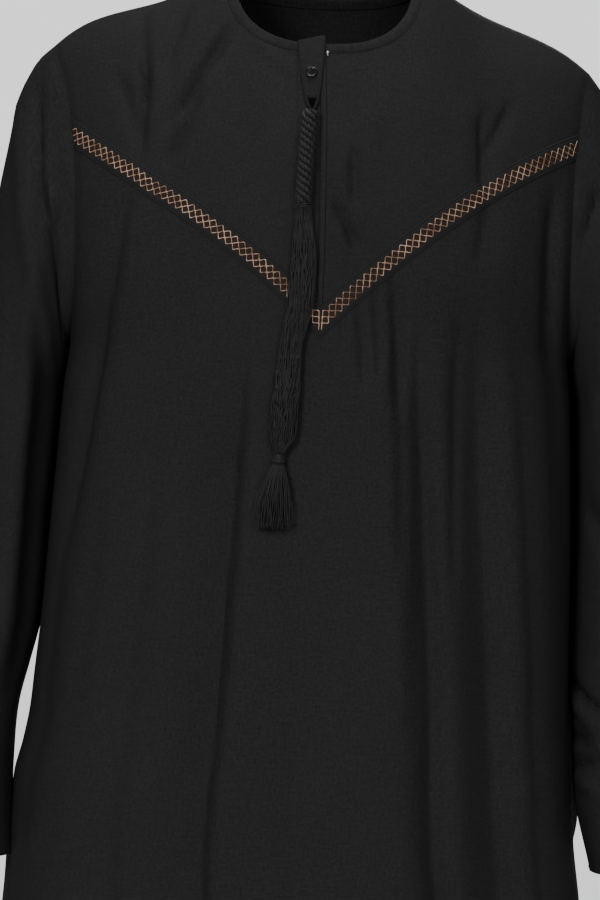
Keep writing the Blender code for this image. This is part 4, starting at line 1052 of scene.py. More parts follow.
class Look:
    """A procedural material in the making: short calls for its nodes."""

    def __init__(self, name, colour, roughness, specular=0.5, sheen=0.0, metallic=0.0):
        self.material = bpy.data.materials.new(name)
        self.material.use_nodes = True
        self.nodes = self.material.node_tree.nodes
        self.links = self.material.node_tree.links
        self.shader = self.nodes["Principled BSDF"]
        self.set("Base Color", (*colour, 1.0))
        self.set("Roughness", roughness)
        self.set("Specular IOR Level", specular)
        self.set("Sheen Weight", sheen)
        self.set("Sheen Roughness", 0.5)
        self.set("Metallic", metallic)
        coordinates = self.nodes.new("ShaderNodeTexCoord")
        self.uv = coordinates.outputs["UV"]
        self.place = coordinates.outputs["Object"]

    def set(self, socket, value):
        self.shader.inputs[socket].default_value = value

    def join(self, source, target):
        self.links.new(source, target)

    def noise(self, source, scale, detail=2.0, roughness=0.5):
        node = self.nodes.new("ShaderNodeTexNoise")
        node.inputs["Scale"].default_value = scale
        node.inputs["Detail"].default_value = detail
        node.inputs["Roughness"].default_value = roughness
        self.join(source, node.inputs["Vector"])
        return node.outputs["Fac"]

    def fibres(self, source, scale, detail=3.0):
        """Noise drawn out along one direction; scale has three values."""
        node = self.nodes.new("ShaderNodeMapping")
        node.inputs["Scale"].default_value = scale
        self.join(source, node.inputs["Vector"])
        return self.noise(node.outputs["Vector"], 1.0, detail)

    def wave(self, source, length, direction, distortion=0.0):
        """Bands a given length apart in metres."""
        node = self.nodes.new("ShaderNodeTexWave")
        node.bands_direction = direction
        node.inputs["Scale"].default_value = 2 * math.pi / (20 * length)
        node.inputs["Distortion"].default_value = distortion
        self.join(source, node.inputs["Vector"])
        return node.outputs["Fac"]

    def work(self, operation, a, b=0.0):
        node = self.nodes.new("ShaderNodeMath")
        node.operation = operation
        for value, socket in ((a, node.inputs[0]), (b, node.inputs[1])):
            if isinstance(value, (int, float)):
                socket.default_value = value
            else:
                self.join(value, socket)
        return node.outputs[0]

    def plus(self, a, b):
        return self.work("ADD", a, b)

    def times(self, a, b):
        return self.work("MULTIPLY", a, b)

    def ramp(self, source, low, high, to_low=0.0, to_high=1.0):
        node = self.nodes.new("ShaderNodeMapRange")
        node.interpolation_type = "SMOOTHSTEP"
        for socket, value in (("From Min", low), ("From Max", high),
                              ("To Min", to_low), ("To Max", to_high)):
            node.inputs[socket].default_value = value
        self.join(source, node.inputs["Value"])
        return node.outputs["Result"]

    def blend(self, share, dark, light):
        node = self.nodes.new("ShaderNodeMix")
        node.data_type = "RGBA"
        self.join(share, node.inputs["Factor"])
        for socket, value in ((node.inputs[6], dark), (node.inputs[7], light)):
            if isinstance(value, tuple):
                socket.default_value = (*value, 1.0)
            else:
                self.join(value, socket)
        return node.outputs[2]

    def colour(self, source):
        self.join(source, self.shader.inputs["Base Color"])

    def rough(self, source):
        self.join(source, self.shader.inputs["Roughness"])

    def bump(self, source, distance, strength):
        node = self.nodes.new("ShaderNodeBump")
        node.inputs["Distance"].default_value = distance
        node.inputs["Strength"].default_value = strength
        self.join(source, node.inputs["Height"])
        self.join(node.outputs["Normal"], self.shader.inputs["Normal"])


def cloth_look():
    """Fine plain weave with slubs both ways and a faint mottle."""
    look = Look("black_weave", CLOTH_BLACK, 0.80, specular=0.08)
    warp = look.wave(look.uv, WARP_PITCH, "X", 0.3)
    weft = look.wave(look.uv, WEFT_PITCH, "Y", 0.3)
    slub_up = look.fibres(look.uv, (1500.0, 60.0, 1.0))
    slub_across = look.fibres(look.uv, (50.0, 1300.0, 1.0))
    weave = look.plus(look.times(warp, weft), look.times(slub_up, 0.9))
    look.bump(look.plus(weave, look.times(slub_across, 0.9)), 0.00013, 0.65)
    grain = look.noise(look.uv, 420.0, 3.0, 0.6)
    mottle = look.plus(look.times(grain, 0.5), look.times(look.plus(slub_up, slub_across), 0.25))
    look.colour(look.blend(look.ramp(mottle, 0.32, 0.68),
                           (0.0046, 0.0046, 0.0048), (0.0116, 0.0116, 0.0118)))
    look.rough(look.ramp(look.noise(look.uv, 9.0), 0.3, 0.7, 0.76, 0.84))
    return look.material


def band_look():
    """The applied strip: black cloth with a dark brown ground of close stitches in its middle."""
    look = Look("band_strip", CLOTH_BLACK, 0.80, specular=0.08)
    split = look.nodes.new("ShaderNodeSeparateXYZ")
    look.join(look.uv, split.inputs[0])
    across = look.work("ABSOLUTE", split.outputs[1])
    ground = look.ramp(across, GROUND_HALF * 0.86, GROUND_HALF * 1.04, 1.0, 0.0)
    fibres = look.fibres(look.uv, (2600.0, 900.0, 1.0))
    brown = look.blend(look.ramp(fibres, 0.35, 0.65),
                       (0.0080, 0.0046, 0.0034), (0.0200, 0.0100, 0.0060))
    look.colour(look.blend(ground, CLOTH_BLACK, brown))
    weave = look.times(look.wave(look.uv, WARP_PITCH, "X"), look.wave(look.uv, WEFT_PITCH, "Y"))
    look.bump(look.plus(weave, look.times(fibres, ground)), 0.00012, 0.6)
    return look.material


def copper_look():
    """Copper-coloured thread with paler and darker stretches."""
    look = Look("copper_thread", (0.34, 0.17, 0.085), 0.45, specular=0.3, metallic=0.10)
    tone = look.plus(look.times(look.noise(look.uv, 260.0), 0.5),
                     look.times(look.noise(look.place, 70.0), 0.5))
    look.colour(look.blend(look.ramp(tone, 0.40, 0.60),
                           (0.085, 0.050, 0.034), (0.340, 0.232, 0.170)))
    look.bump(look.wave(look.uv, 0.00055, "DIAGONAL"), 0.00008, 0.7)
    return look.material


def thread_look(name, light, roughness, specular):
    """Black twisted thread; a fine wave along it gives its twist."""
    look = Look(name, light, roughness, specular=specular, sheen=0.03)
    dark = tuple(value * 0.55 for value in light)
    look.colour(look.blend(look.ramp(look.noise(look.uv, 300.0), 0.3, 0.7), dark, light))
    look.bump(look.wave(look.uv, 0.00045, "DIAGONAL"), 0.00010, 0.6)
    return look.material


def button_look():
    """Glossy black with a faint swirl."""
    dark, light = (0.0055, 0.0055, 0.0060), (0.0110, 0.0110, 0.0115)
    look = Look("button_gloss", dark, 0.16, specular=0.22)
    swirl = look.noise(look.place, 320.0)
    look.colour(look.blend(look.ramp(swirl, 0.35, 0.65), dark, light))
    look.bump(swirl, 0.00003, 0.4)
    return look.material


def snap_look():
    """Brushed metal."""
    look = Look("snap_metal", (0.34, 0.34, 0.36), 0.24, metallic=1.0)
    brushed = look.fibres(look.place, (900.0, 900.0, 200.0), 2.0)
    look.rough(look.ramp(brushed, 0.3, 0.7, 0.18, 0.34))
    look.bump(brushed, 0.00002, 0.3)
    return look.material


def floor_look():
    look = Look("pale_floor", (0.80, 0.81, 0.82), 0.9, specular=0.1)
    tone = look.noise(look.place, 0.7)
    look.colour(look.blend(look.ramp(tone, 0.3, 0.7), (0.79, 0.80, 0.81), (0.82, 0.83, 0.84)))
    return look.material


LOOKS = {
    "cloth": cloth_look(),
    "band": band_look(),
    "copper": copper_look(),
    "thread": thread_look("black_thread", (0.0080, 0.0080, 0.0083), 0.56, 0.13),
    "sewing": thread_look("sewing_thread", (0.0050, 0.0050, 0.0052), 0.70, 0.06),
    # Near-black, matte look of the sheet in the tab's loop: painted shade for its opening
    "shade": thread_look("loop_painted_shade", (0.0012, 0.0012, 0.0012), 0.90, 0.0),
    "button": button_look(),
    "snap": snap_look(),
}

# Panels and sleeves

panels = {face: panel(face) for face in (FRONT, BACK)}
sleeves = {side: sleeve(side) for side in (RIGHT, LEFT)}


def add_cloth(name, node, grid, thicker, closed=False):
    """A panel or sleeve as thin cloth; thicker is what its turned edge adds to each face."""
    points, normals, flat = grid
    item = closed_sheet(name, points + normals * (OUTER + thicker),
                        points + normals * (INNER - thicker), flat, closed)
    dress(item, "cloth", "cloth", node)


def add_panel(face, name, node):
    thicker = (panels[face][0][..., 2:] < HEM_Z + HEM_DEPTH) * HEM_ADDS
    add_cloth(name, node, panels[face], thicker)


def add_sleeve(side, name, node):
    rows = len(sleeves[side][0])
    from_cuff = (rows - 1 - np.arange(rows)) * SLEEVE_STEP
    thicker = (from_cuff < CUFF_DEPTH)[:, None, None] * CUFF_ADDS
    add_cloth(name, node, sleeves[side], thicker, closed=True)


add_panel(FRONT, "front_cloth", "front")
add_panel(BACK, "back_cloth", "back")
add_sleeve(RIGHT, "sleeve_right_cloth", "sleeve_right")
add_sleeve(LEFT, "sleeve_left_cloth", "sleeve_left")

# Sewing

sewing = []


def add_stitches(points, normals, length=0.0026, pitch=0.0036, radius=0.00020, height=0.0):
    """A row of short threads along a line, each dipping into the cloth at its ends."""
    arcs = run_length(points)
    middles = np.arange(pitch / 2, arcs[-1] - pitch / 2, pitch)
    local = np.linspace(-0.5, 0.5, 5)
    at = middles[:, None] + local[None, :] * length
    paths, ups = (
        np.stack([np.interp(at, arcs, values[:, axis]) for axis in range(3)], axis=-1)
        for values in (points, normals)
    )
    ups = unit(ups)
    arch = radius * (0.9 - 6.0 * local ** 2)
    sewing.append((paths + ups * (height + arch[None, :, None]), ups, radius))


# Neck bindings

# The binding's section: shares of its width from the edge, and heights
BINDING_SECTION = (
    (1.00, 0.00090), (0.97, 0.00122), (0.90, 0.00128), (0.84, 0.00112), (0.78, 0.00134),
    (0.45, 0.00150), (0.08, 0.00148), (-0.06, 0.00110), (-0.12, 0.00030), (-0.10, -0.00050),
    (0.00, -0.00095), (0.45, -0.00100), (0.95, -0.00090), (0.97, 0.00020),
)

# How far the weave runs from one point of the section to the next
BINDING_WEAVE = 0.0012


def binding_grid(face):
    """Shares of the binding's width, and points and normals there along the neckline."""
    shares = np.linspace(0, 1, 6)
    inset = BINDING_WIDTH * shares[:, None]

    def place(side, share):
        across = np.sin(share * math.pi / 2)
        reach = NECK_HALF + inset
        middle = -NECK_DROP[face] - inset
        return side * across * reach, mix(middle, shoulder_z(side, reach), neck_curve(across))

    points, normals = formed(face, *both_halves(face, place, BINDING_COLUMNS))
    normals[:, (0, -1), 1] = 0.0
    return shares, points, unit(normals)


def add_binding(face, name, node):
    """A binding: its section drawn along the neckline, with one row of stitches."""
    shares, points, normals = binding_grid(face)
    section = []
    for share, height in BINDING_SECTION:
        low, _, t = between(shares, share)
        normal = unit(mix(normals[low], normals[low + 1], np.clip(t, 0, 1)))
        section.append(mix(points[low], points[low + 1], t) + normal * height)
    loops = np.stack(section, axis=1)
    around = np.broadcast_to(np.arange(loops.shape[1]) * BINDING_WEAVE, loops.shape[:2])
    along = np.broadcast_to(run_length(loops[:, 0])[:, None], loops.shape[:2])
    item = lidded(name, loops, np.stack([along, around], axis=-1), crisp=60)
    dress(item, "cloth", "cloth", node)
    add_stitches(mix(points[4], points[5], 0.2), normals[4], height=0.00112)


add_binding(FRONT, "binding_front", "neck_binding_front")
add_binding(BACK, "binding_back", "neck_binding_back")

# Chevron band

# Shares and heights from an edge of the strip to its middle: a tuck line runs near the edge
BAND_FLANK = (
    (1.00, 0.00100), (0.97, 0.00150), (0.90, 0.00168), (0.82, 0.00132), (0.76, 0.00164),
    (0.60, 0.00176), (0.52, 0.00160), (0.25, 0.00164),
)
BAND_SECTION = [
    *((-share, height) for share, height in BAND_FLANK), (0.0, 0.00166), *BAND_FLANK[::-1],
]
TUCK = 0.82


def band_places(offsets, steps):
    """Distances from the middle and heights on the band, mitred at its tip, -X to +X."""
    halves = []
    for side in (RIGHT, LEFT):
        ends = np.array([band_reach(side, edge)[0] for edge in offsets])
        x = np.linspace(0, 1, steps + 1)[:, None] * (ends - BAND_INSET)
        halves.append((side * x, band_edge(side, x, np.array(offsets))))
    return across_middle(*halves, axis=0)


def add_band():
    offsets, heights = np.array(BAND_SECTION).T
    x, z = band_places(offsets, 220)
    mitre = 1 - 0.25 * np.exp(-((x / 0.0010) ** 2))
    outer, _ = on_front(x, z, heights * mitre)
    inner, _ = on_front(x, z, BAND_BASE)
    middle = len(BAND_FLANK)
    along = np.broadcast_to(run_length(outer[:, middle])[:, None], x.shape)
    across = np.broadcast_to(offsets * BAND_HALF, x.shape)
    item = closed_sheet("band_strip", outer, inner, np.stack([along, across], axis=-1))
    dress(item, "band", "band", "chevron_band")
    for edge in (-TUCK, TUCK):
        x, z = band_places([edge], 260)
        points, normals = on_front(x[:, 0], z[:, 0])
        add_stitches(points, normals, length=0.0022, pitch=0.0031, height=0.00134)


def zigzag(phase):
    """A rounded zigzag of height 1 and period 1."""
    sharp = 2 * np.abs(2 * (phase - np.floor(phase + 0.5))) - 1
    return mix(sharp, -np.cos(2 * math.pi * phase), 0.35)


def lattice_line(side, lane, shift):
    """Places and radii of one zigzag thread along a leg of the band."""
    dense = np.linspace(-0.010, BAND_END + 0.012, 3000)
    ahead = np.maximum(dense, 0.0)
    middle_z = np.where(dense < 0, BAND_TIP_Z + BAND_SLOPE * dense, band_z(side, ahead))
    lie = depth(FRONT, side * np.clip(dense, 0.0, BAND_END - 0.004), middle_z)
    arcs = run_length(np.stack([dense, middle_z, lie], axis=-1))
    arcs -= np.interp(0.0, dense, arcs)
    along = np.arange(arcs[0], arcs[-1], THREAD_STEP)
    across = lane * ZIGZAG + 0.5 * ZIGZAG * zigzag(along / ZIGZAG_STEP + shift)
    across += UNEVEN * np.sin(along * 1270 + 2 * lane + side)
    x, z, tilt = (np.interp(along, arcs, values)
                  for values in (dense, middle_z, band_slope(side, ahead)))
    x = x - across * tilt / np.hypot(1, tilt)
    z = z + across / np.hypot(1, tilt)
    inside = np.flatnonzero((x > LATTICE_START) & (x < half_at(z) - LATTICE_INSET))
    kept = slice(inside[0], inside[-1] + 1)
    x, z, along = x[kept], z[kept], along[kept]
    phase = along / ZIGZAG_STEP
    full = 1 + THICKER_AT_TURNS * np.cos(4 * math.pi * phase)
    full = full + THICKER_AT_TWISTS * np.sin(along * 2400)
    if side == LEFT:
        zone = sum(np.exp(-(((x - middle) / reach) ** 4)) for middle, reach in SLANTED)
        falling = ease(0.5 - 0.9 * np.sin(2 * math.pi * (phase + shift)))
        full = full * (1 - THINNING * zone * falling)
    return side * x, z, THREAD * full


def add_lattice():
    lanes = [(side, lane) for side in (RIGHT, LEFT) for lane in (-1, 0, 1)]
    for number, (side, lane) in enumerate(lanes):
        x, z, radii = lattice_line(side, lane, abs(lane) / 2)
        points, normals = on_front(x, z, THREAD_HEIGHT + LANE_RISE * (lane + 1))
        item = tubes("lattice_%d" % number, points[None], radii[None], normals[None], 6,
                     flatten=0.8)
        dress(item, "copper", "band")


add_band()
add_lattice()

# Placket

# Shares of its half width, and heights: a groove lies beside its turned edge
PLACKET_SECTION = (
    (-1.00, 0.00070), (-0.96, 0.00140), (-0.86, 0.00160), (-0.30, 0.00156), (0.20, 0.00156),
    (0.46, 0.00165), (0.53, 0.00070), (0.59, 0.00075), (0.66, 0.00172), (0.80, 0.00185),
    (0.94, 0.00190), (1.00, 0.00060),
)
PLACKET_STITCHES = 0.56


def placket_ends(x):
    """Heights of the placket's ends, just under the binding and beside the band's upper edge."""
    reach = NECK_HALF + BINDING_WIDTH
    top = mix(-NECK_DROP[FRONT] - BINDING_WIDTH, float(shoulder_z(LEFT, reach)),
              neck_curve(np.abs(x) / reach))
    return top - 0.0003, band_edge(side_of(x), np.abs(x), 0.96)


def add_placket():
    shares, heights = np.array(PLACKET_SECTION).T
    x = PLACKET_X + shares * PLACKET_HALF
    z = mix(*placket_ends(x), np.linspace(0, 1, 150)[:, None])
    x = np.broadcast_to(x, z.shape)
    outer, _ = on_front(x, z, heights)
    inner, _ = on_front(x, z, PLACKET_BASE)
    item = closed_sheet("placket_strip", outer, inner, np.stack([x, z], axis=-1))
    dress(item, "cloth", "cloth", "placket")
    line = PLACKET_X + PLACKET_STITCHES * PLACKET_HALF
    top, low = placket_ends(line)
    z = np.linspace(float(top) - 0.002, float(low) + 0.002, 160)
    points, normals = on_front(line, z)
    add_stitches(points, normals, height=0.00110)


add_placket()

# Tab with its loop


def tab_stand(z):
    """How far the tab's point stands forward, over the head of the tassel."""
    return TIP_STAND * ease((TIP_START_Z - z) / (TIP_START_Z - TAB[-1].z))


def add_tab():
    shares = np.linspace(-1, 1, 29)
    top_z = float(mix(-NECK_DROP[FRONT], 0.0, neck_curve(abs(PLACKET_X) / NECK_HALF)))
    z = np.linspace(top_z, TAB[-1].z, 90)[:, None]
    half = tab_half_at(z)
    x = PLACKET_X + shares * half
    z = np.broadcast_to(z, x.shape)
    rim = np.clip(half * (1 - np.abs(shares)), 0, 0.003)
    folded = TAB_RIM_HEIGHT * np.exp(-(((rim - TAB_RIM) / TAB_RIM_WIDTH) ** 2))
    folded = folded - TAB_EDGE_DROP * np.exp(-((rim / TAB_EDGE_WIDTH) ** 2))
    inside = ease((half - LOOP_EDGE - np.abs(x - PLACKET_X)) / 0.0010)
    hollow = inside * ease((LOOP_TOP_Z - z) / 0.0020)
    middle = TAB_HEIGHT + tab_stand(z) - LOOP_DEPTH * hollow * ease((LOOP_TOP_Z - z) / 0.0060)
    outer, _ = on_front(x, z, middle + TAB_THICK / 2 + folded - LOOP_FLOOR * hollow)
    inner, _ = on_front(x, z, middle - TAB_THICK / 2 + 0.00015)
    levels = np.linspace(1, 0, 6)[:-1, None, None]
    lift = mix(*TAB_LIFT, (shares + 1) / 2)[:, None] * levels
    outer, inner = (np.concatenate([grid[0] + unit(grid[0] - grid[1]) * lift, grid])
                    for grid in (outer, inner))
    across = np.broadcast_to(shares * 0.011, outer.shape[:2])
    down = np.broadcast_to(np.linspace(0.006, -0.066, len(outer))[:, None], outer.shape[:2])
    item = closed_sheet("tab_cloth", outer, inner, np.stack([across, down], axis=-1))
    dress(item, "cloth", "cloth", "tassel_tab")
    for sign in (-1, 1):
        z = np.linspace(top_z + 0.001, TAB_STITCHES_Z, 80)
        x = PLACKET_X + sign * (tab_half_at(z) - TAB_FOLD)
        points, normals = on_front(x, z, TAB_HEIGHT + TAB_THICK / 2 + tab_stand(z))
        add_stitches(points, normals, length=0.0020, pitch=0.0028, radius=0.00016, height=0.00018)


def add_opening_painted_shade():
    """A near-black sheet at the floor of the loop, under the tab's point: painted shade for the
    loop's opening.
    """
    z = np.linspace(LOOP_TOP_Z - 0.0012, HEAD_TOP_Z, 24)[:, None]
    half = np.maximum(tab_half_at(z) - LOOP_EDGE - 0.0002, 0.0002)
    x = PLACKET_X + np.linspace(-1, 1, 13) * half
    z = np.broadcast_to(z, x.shape)
    middle = TAB_HEIGHT + tab_stand(z) - LOOP_FLOOR
    outer, _ = on_front(x, z, middle + 0.0001)
    inner, _ = on_front(x, z, middle - 0.0002)
    item = closed_sheet("tab_opening_painted_shade", outer, inner, np.stack([x, z], axis=-1))
    dress(item, "shade", "cloth")


add_tab()
add_opening_painted_shade()

# Button and press stud

# Shares of the button's radius and thickness, from its underside over its rim to its dish
BUTTON_RIM = (
    (0.60, 0.00), (0.90, 0.18), (0.99, 0.40), (1.00, 0.58), (0.975, 0.80), (0.92, 0.94),
    (0.85, 1.00), (0.78, 0.96), (0.72, 0.84), (0.66, 0.70),
)
BUTTON_DISH = 0.62

# Shares of the stud's radius, and heights over its seat
SNAP_PROFILE = (
    (0.92, 0.0), (1.00, 0.0002), (0.97, 0.00045), (0.86, 0.0005), (0.72, 0.00035),
    (0.58, 0.0004), (0.50, 0.0007), (0.40, 0.0010), (0.22, 0.00115),
)


def seat_axes(normal):
    """Sideways, upright and outward directions at a place on the front."""
    axis = Vector(normal).normalized()
    across = axis.cross(Vector((0.0, 0.0, 1.0))).normalized()
    return np.array([across, axis.cross(across), axis])


def turned(name, profile, point, axes, sides, wells=(), squash=1.0):
    """A turned piece of radius and height pairs; wells are pits (x, y, radius, depth) in it."""
    turn = 2 * math.pi * np.arange(sides) / sides
    radius, height = np.array(profile).T[..., None]
    u, v = radius * np.cos(turn) * squash, radius * np.sin(turn)
    w = np.broadcast_to(height, u.shape).copy()
    face_height = float(height.max()) * 0.55
    for well_u, well_v, well_radius, well_depth in wells:
        away = np.hypot(u - well_u, v - well_v)
        w -= np.where(w > face_height, well_depth * ease((well_radius - away) / 0.0002), 0.0)
    return lidded(name, np.asarray(point) + np.stack([u, v, w], axis=-1) @ axes, crisp=50)


def add_button():
    """The button with its four wells, and two threads through them."""
    point, normal = on_front(PLACKET_X, BUTTON_Z)
    axes = seat_axes(normal)
    seat = TAB_HEIGHT + TAB_THICK / 2 + 0.0002
    r, t = BUTTON_RADIUS, BUTTON_THICK
    profile = [(0.0001, seat)]
    profile += [(r * share, seat + t * level) for share, level in BUTTON_RIM]
    profile += [(r * share, seat + t * (BUTTON_DISH + 0.04 * share))
                for share in np.linspace(0.62, 0.01, 34)]
    wells = [(sign_x * WELL_REACH, sign_y * WELL_REACH, WELL_RADIUS, WELL_DEPTH)
             for sign_x in (-1, 1) for sign_y in (-1, 1)]
    item = turned("button_turned", profile, point, axes, 96, wells)
    dress(item, "button", "button", "tab_button")
    local = np.linspace(-1, 1, 13)
    rise = seat + t * BUTTON_DISH + 0.00042 * (1 - local ** 4) - 0.0006 * np.abs(local) ** 8
    for number, sign in enumerate((-1, 1)):
        sideways = np.full_like(local, sign * WELL_REACH)
        path = point + np.stack([sideways, local * 0.00098, rise], axis=-1) @ axes
        add_threads("button_thread_%d" % number, path[None], 0.00030, axes[0], 8, "sewing")


def add_snap():
    x = PLACKET_X + float(tab_half_at(SNAP_Z)) + SNAP_RADIUS + 0.0003
    point, normal = on_front(x, SNAP_Z)
    profile = [(0.0001, SNAP_SEAT)]
    profile += [(SNAP_RADIUS * share, SNAP_SEAT + height) for share, height in SNAP_PROFILE]
    profile += [(0.0001, SNAP_SEAT + 0.0012)]
    item = turned("snap_turned", profile, point, seat_axes(normal), 40, squash=0.50)
    dress(item, "snap", "snap", "snap_stud")


add_button()
add_snap()

# Tassel

AXIS_Y = np.array([0.0, 1.0, 0.0])
AXIS_Z = np.array([0.0, 0.0, 1.0])


def tassel_axis(z):
    """Middle of the tassel at heights, resting on what lies under it."""
    z = np.asarray(z, float)
    x = hang_x_at(z)
    deep = hang_deep_at(z) + np.where(z > HEAD_END_Z, 0.0011, 0.0)
    near = [on_front(x - sway_at(z) + step, z)[0][..., 1]
            for step in (-0.012, -0.006, 0.0, 0.006, 0.012)]
    y = np.minimum.reduce(near) - TASSEL_GAP - deep
    width = 9
    if len(y) > width:
        padded = np.pad(y, width // 2, mode="edge")
        smooth = np.convolve(padded, np.ones(width) / width, mode="valid")
        y = np.minimum(smooth, y + 0.0006)
    return np.stack([x, y, z], axis=-1)


def arms_at(angle, wide=1.0, deep=1.0):
    """Arms of an oval at angles round the tassel's axis."""
    return np.stack([np.cos(angle) * wide, np.sin(angle) * deep, 0 * angle], axis=-1)


def chance_wave(random, share, low, high):
    """A wave along a strand with a number of turns and a start left to chance."""
    return np.sin(2 * math.pi * (share * random.uniform(low, high) + random.random()))


def add_head():
    """Four plies wound round a core, each of two strands twisted together, and a tie below."""
    z = np.linspace(HEAD_TOP_Z, HEAD_END_Z, 440)
    axis = tassel_axis(z)
    share = np.linspace(0, 1, len(z))
    gather = mix(HEAD_GATHER, 1.0, ease(np.minimum(share, 1 - share) / HEAD_GATHER_SHARE))
    paths = []
    for ply in range(HEAD_PLIES):
        out = arms_at(2 * math.pi * (ply / HEAD_PLIES + HEAD_TURNS * share) + 0.4)
        path = axis + out * (PLY_REACH * gather)[:, None]
        along = run_length(path)
        side = unit(np.cross(unit(np.gradient(path, axis=0)), out))
        for strand in (0, 1):
            twist = 2 * math.pi * (along / STRAND_TWIST + strand / 2 + 0.13 * ply)
            arm = out * np.cos(twist)[:, None] + side * np.sin(twist)[:, None]
            paths.append(path + arm * STRAND_REACH)
    radii = STRAND_RADIUS * mix(1, gather, 0.5)
    add_threads("head_strands", paths, radii, AXIS_Z, 12, "thread", "tassel_head")
    core = PLY_REACH * HEAD_CORE_SHARE * gather[::4]
    add_threads("head_core", axis[None, ::4], core, AXIS_Y, 24, "sewing")
    turn = np.linspace(0, HEAD_TIE_TURNS * 2 * math.pi, 90)
    arm = arms_at(turn)
    arm[:, 2] = 0.22 * np.cos(turn)
    end = tassel_axis(np.linspace(HEAD_END_Z + 0.0010, HEAD_END_Z - 0.0035, len(turn)))
    path = end + arm * HEAD_TIE_REACH
    add_threads("head_tie", path[None], HEAD_TIE_RADIUS, AXIS_Z, 8, "thread")


def add_bundle():
    """Loose strands, each wandering a little, round a dark core."""
    random = np.random.default_rng(7)
    z = np.linspace(HEAD_END_Z - 0.0003, BUNDLE_END_Z, 80)
    axis = tassel_axis(z)
    half, deep = hang_half_at(z), hang_deep_at(z)
    share = np.linspace(0, 1, len(z))
    paths, radii = [], []
    for number in range(BUNDLE_STRANDS):
        angle = 2 * math.pi * (number * GOLDEN_TURN % 1)
        reach = BUNDLE_FILL * math.sqrt((number + 6) / (BUNDLE_STRANDS + 6))
        swing = STRAND_SWING * chance_wave(random, share, 1.5, 4.5)
        swing += STRAND_RIPPLE * chance_wave(random, share, 8, 15)
        turn = angle + swing * 2.2 + STRAND_TURN * share
        out = reach + STRAND_SWING * chance_wave(random, share, 1.5, 4.0)
        out = np.clip(out, 0.0, BUNDLE_EDGE)
        paths.append(axis + arms_at(turn, out * half, out * deep))
        radii.append(np.full(len(z), random.uniform(*STRAND_RADII)))
    add_threads("bundle_strands", paths, radii, AXIS_Y, 5, "thread", "tassel_bundle")
    core = np.minimum(half, deep) * BUNDLE_CORE_SHARE
    add_threads("bundle_core", axis[None], core, AXIS_Y, 16, "sewing")


def add_skirt():
    """A wound tie round a core, and the ends of the strands fanning out below it."""
    random = np.random.default_rng(11)
    z = np.linspace(BUNDLE_END_Z - 0.0003, KNOT_END_Z, 90)
    axis = tassel_axis(z)
    reach = hang_half_at(z) * 0.92
    turn = 2 * math.pi * SKIRT_TIE_TURNS * np.linspace(0, 1, len(z))
    path = axis + arms_at(turn, reach, reach * 0.9)
    add_threads("skirt_tie", path[None], SKIRT_TIE_RADIUS, AXIS_Z, 10, "thread")
    add_threads("skirt_core", axis[None, ::6], SKIRT_CORE_RADIUS, AXIS_Y, 16, "thread")
    top = tassel_axis([KNOT_END_Z])[0]
    end = tassel_axis([SKIRT_END_Z])[0]
    end[1] = min(end[1], top[1])
    share = np.linspace(0, 1, 16)
    bulge = np.sin(share * math.pi / 2)
    paths, radii = [], []
    for number in range(SKIRT_STRANDS):
        turn = 2 * math.pi * (number * GOLDEN_TURN % 1)
        out = math.sqrt((number + 2) / (SKIRT_STRANDS + 2))
        root, tip = (arms_at(turn, wide * out, deep * out)
                     for wide, deep in (SKIRT_ROOT, SKIRT_SPREAD))
        tip[2] = SKIRT_UNEVEN * random.uniform(-1, 1)
        tip[:2] *= random.uniform(0.85, 1.05)
        fall = np.stack([bulge, bulge, share], axis=-1)
        path = top + root + (end + tip - top - root) * fall
        path[:, 0] += SKIRT_WAVE * chance_wave(random, share, 0.6, 1.8) * share
        paths.append(path)
        radii.append(mix(*SKIRT_RADII, share))
    add_threads("skirt_strands", paths, radii, AXIS_Y, 5, "thread", "tassel_skirt")


add_head()
add_bundle()
add_skirt()

# Cuff and hem stitches, then each line of sewing as one mesh


def add_edge_stitches():
    for side in (RIGHT, LEFT):
        points, normals = (np.append(grid, grid[:, :1], axis=1) for grid in sleeves[side][:2])
        line = points[-1] + unit(points[-2] - points[-1]) * CUFF_STITCHES
        add_stitches(line, normals[-1], height=OUTER + 0.0003)
    for face in (FRONT, BACK):
        points, normals, _ = panels[face]
        line = points[-1] + unit(points[-2] - points[-1]) * HEM_STITCHES
        add_stitches(line, normals[-2], pitch=0.0042, length=0.0030, height=OUTER + 0.0004)


def add_sewing():
    for number, (paths, ups, radius) in enumerate(sewing):
        add_threads("stitches_%d" % number, paths, radius, ups, 5, "sewing")


add_edge_stitches()
add_sewing()

# Floor, light and camera

BACKDROP_LOW = (1.12, 1.13, 1.14)
BACKDROP_HIGH = (1.34, 1.35, 1.36)
BACKDROP_REACH = 0.08
FILL = 0.07
TOP_STRENGTH = 4.2
TOP_ANGLE = 50
Lamp = namedtuple("Lamp", "name place target width height power spread")
LAMPS = (
    Lamp("key", (-1.20, -2.65, 0.45), (0.0, -0.1, -0.45), 0.8, 0.8, 33, 110),
    Lamp("fill", (0.75, -2.70, 0.20), (0.1, -0.1, -0.50), 0.9, 0.9, 15, 110),
    Lamp("back", (0.50, 2.70, 0.50), (0.0, 0.1, -0.70), 1.0, 1.2, 22, 120),
)
FLOOR_HALF = 1.5
FLOOR_Z = HEM_Z - 0.006
CAMERA_PLACE = (-0.008, -3.10, -0.413)
CAMERA_ROLL = 2.0
VIEW_HEIGHT = 0.756
VIEW_DISTANCE = 3.0

floor_mesh = bpy.data.meshes.new("floor")
corners = ((-1, -1), (1, -1), (1, 1), (-1, 1))
floor_mesh.from_pydata([(x * FLOOR_HALF, y * FLOOR_HALF, FLOOR_Z) for x, y in corners],
                       [], [(0, 1, 2, 3)])
floor = bpy.data.objects.new("floor", floor_mesh)
bpy.context.scene.collection.objects.link(floor)
floor.data.materials.append(floor_look())


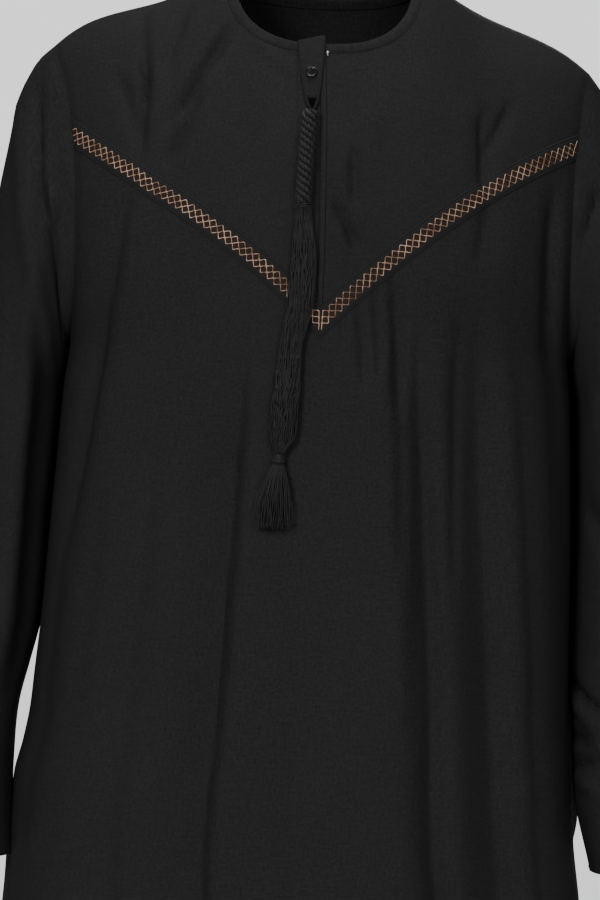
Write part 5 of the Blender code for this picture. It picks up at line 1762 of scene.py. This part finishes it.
def add_world():
    """A pale backdrop that gives little light of its own; the lamps light the garment."""
    world = bpy.data.worlds.new("studio")
    world.use_nodes = True
    nodes, links = world.node_tree.nodes, world.node_tree.links
    backdrop = nodes["Background"]
    direction = nodes.new("ShaderNodeTexCoord")
    split = nodes.new("ShaderNodeSeparateXYZ")
    links.new(direction.outputs["Generated"], split.inputs[0])
    height = nodes.new("ShaderNodeMapRange")
    height.inputs["From Min"].default_value = -BACKDROP_REACH
    height.inputs["From Max"].default_value = BACKDROP_REACH
    links.new(split.outputs["Z"], height.inputs["Value"])
    tone = nodes.new("ShaderNodeMix")
    tone.data_type = "RGBA"
    tone.inputs[6].default_value = (*BACKDROP_LOW, 1.0)
    tone.inputs[7].default_value = (*BACKDROP_HIGH, 1.0)
    links.new(height.outputs["Result"], tone.inputs["Factor"])
    links.new(tone.outputs[2], backdrop.inputs["Color"])
    fill = nodes.new("ShaderNodeBackground")
    fill.inputs["Color"].default_value = (*BACKDROP_HIGH, 1.0)
    fill.inputs["Strength"].default_value = FILL
    seen = nodes.new("ShaderNodeLightPath")
    either = nodes.new("ShaderNodeMixShader")
    links.new(seen.outputs["Is Camera Ray"], either.inputs["Fac"])
    links.new(fill.outputs["Background"], either.inputs[1])
    links.new(backdrop.outputs["Background"], either.inputs[2])
    links.new(either.outputs["Shader"], nodes["World Output"].inputs["Surface"])
    bpy.context.scene.world = world


def add_light(name, kind, power, place):
    light = bpy.data.lights.new(name, kind)
    light.energy = power
    item = bpy.data.objects.new(name, light)
    item.location = place
    bpy.context.scene.collection.objects.link(item)
    return light, item


def add_lamps():
    for lamp in LAMPS:
        light, item = add_light(lamp.name, "AREA", lamp.power, lamp.place)
        light.shape = "RECTANGLE"
        light.size, light.size_y = lamp.width, lamp.height
        light.spread = math.radians(lamp.spread)
        facing = Vector(lamp.target) - Vector(lamp.place)
        item.rotation_euler = facing.to_track_quat("-Z", "Y").to_euler()


def add_top():
    """A broad light from above, mostly for the floor."""
    light, _ = add_light("top", "SUN", TOP_STRENGTH, (0.0, 0.0, 4.0))
    light.angle = math.radians(TOP_ANGLE)


def add_camera():
    """A level view of the upper part, turned a little about its own axis."""
    camera = bpy.data.cameras.new("camera")
    camera.sensor_fit = "VERTICAL"
    camera.angle = 2 * math.atan(VIEW_HEIGHT / 2 / VIEW_DISTANCE)
    camera.clip_end = 200.0
    item = bpy.data.objects.new("camera", camera)
    item.location = CAMERA_PLACE
    facing = Vector((0.0, 1.0, 0.0)).to_track_quat("-Z", "Y").to_matrix().to_4x4()
    roll = Matrix.Rotation(math.radians(CAMERA_ROLL), 4, "Z")
    item.rotation_euler = (facing @ roll).to_euler()
    bpy.context.scene.collection.objects.link(item)
    bpy.context.scene.camera = item


add_world()
add_lamps()
add_top()
add_camera()
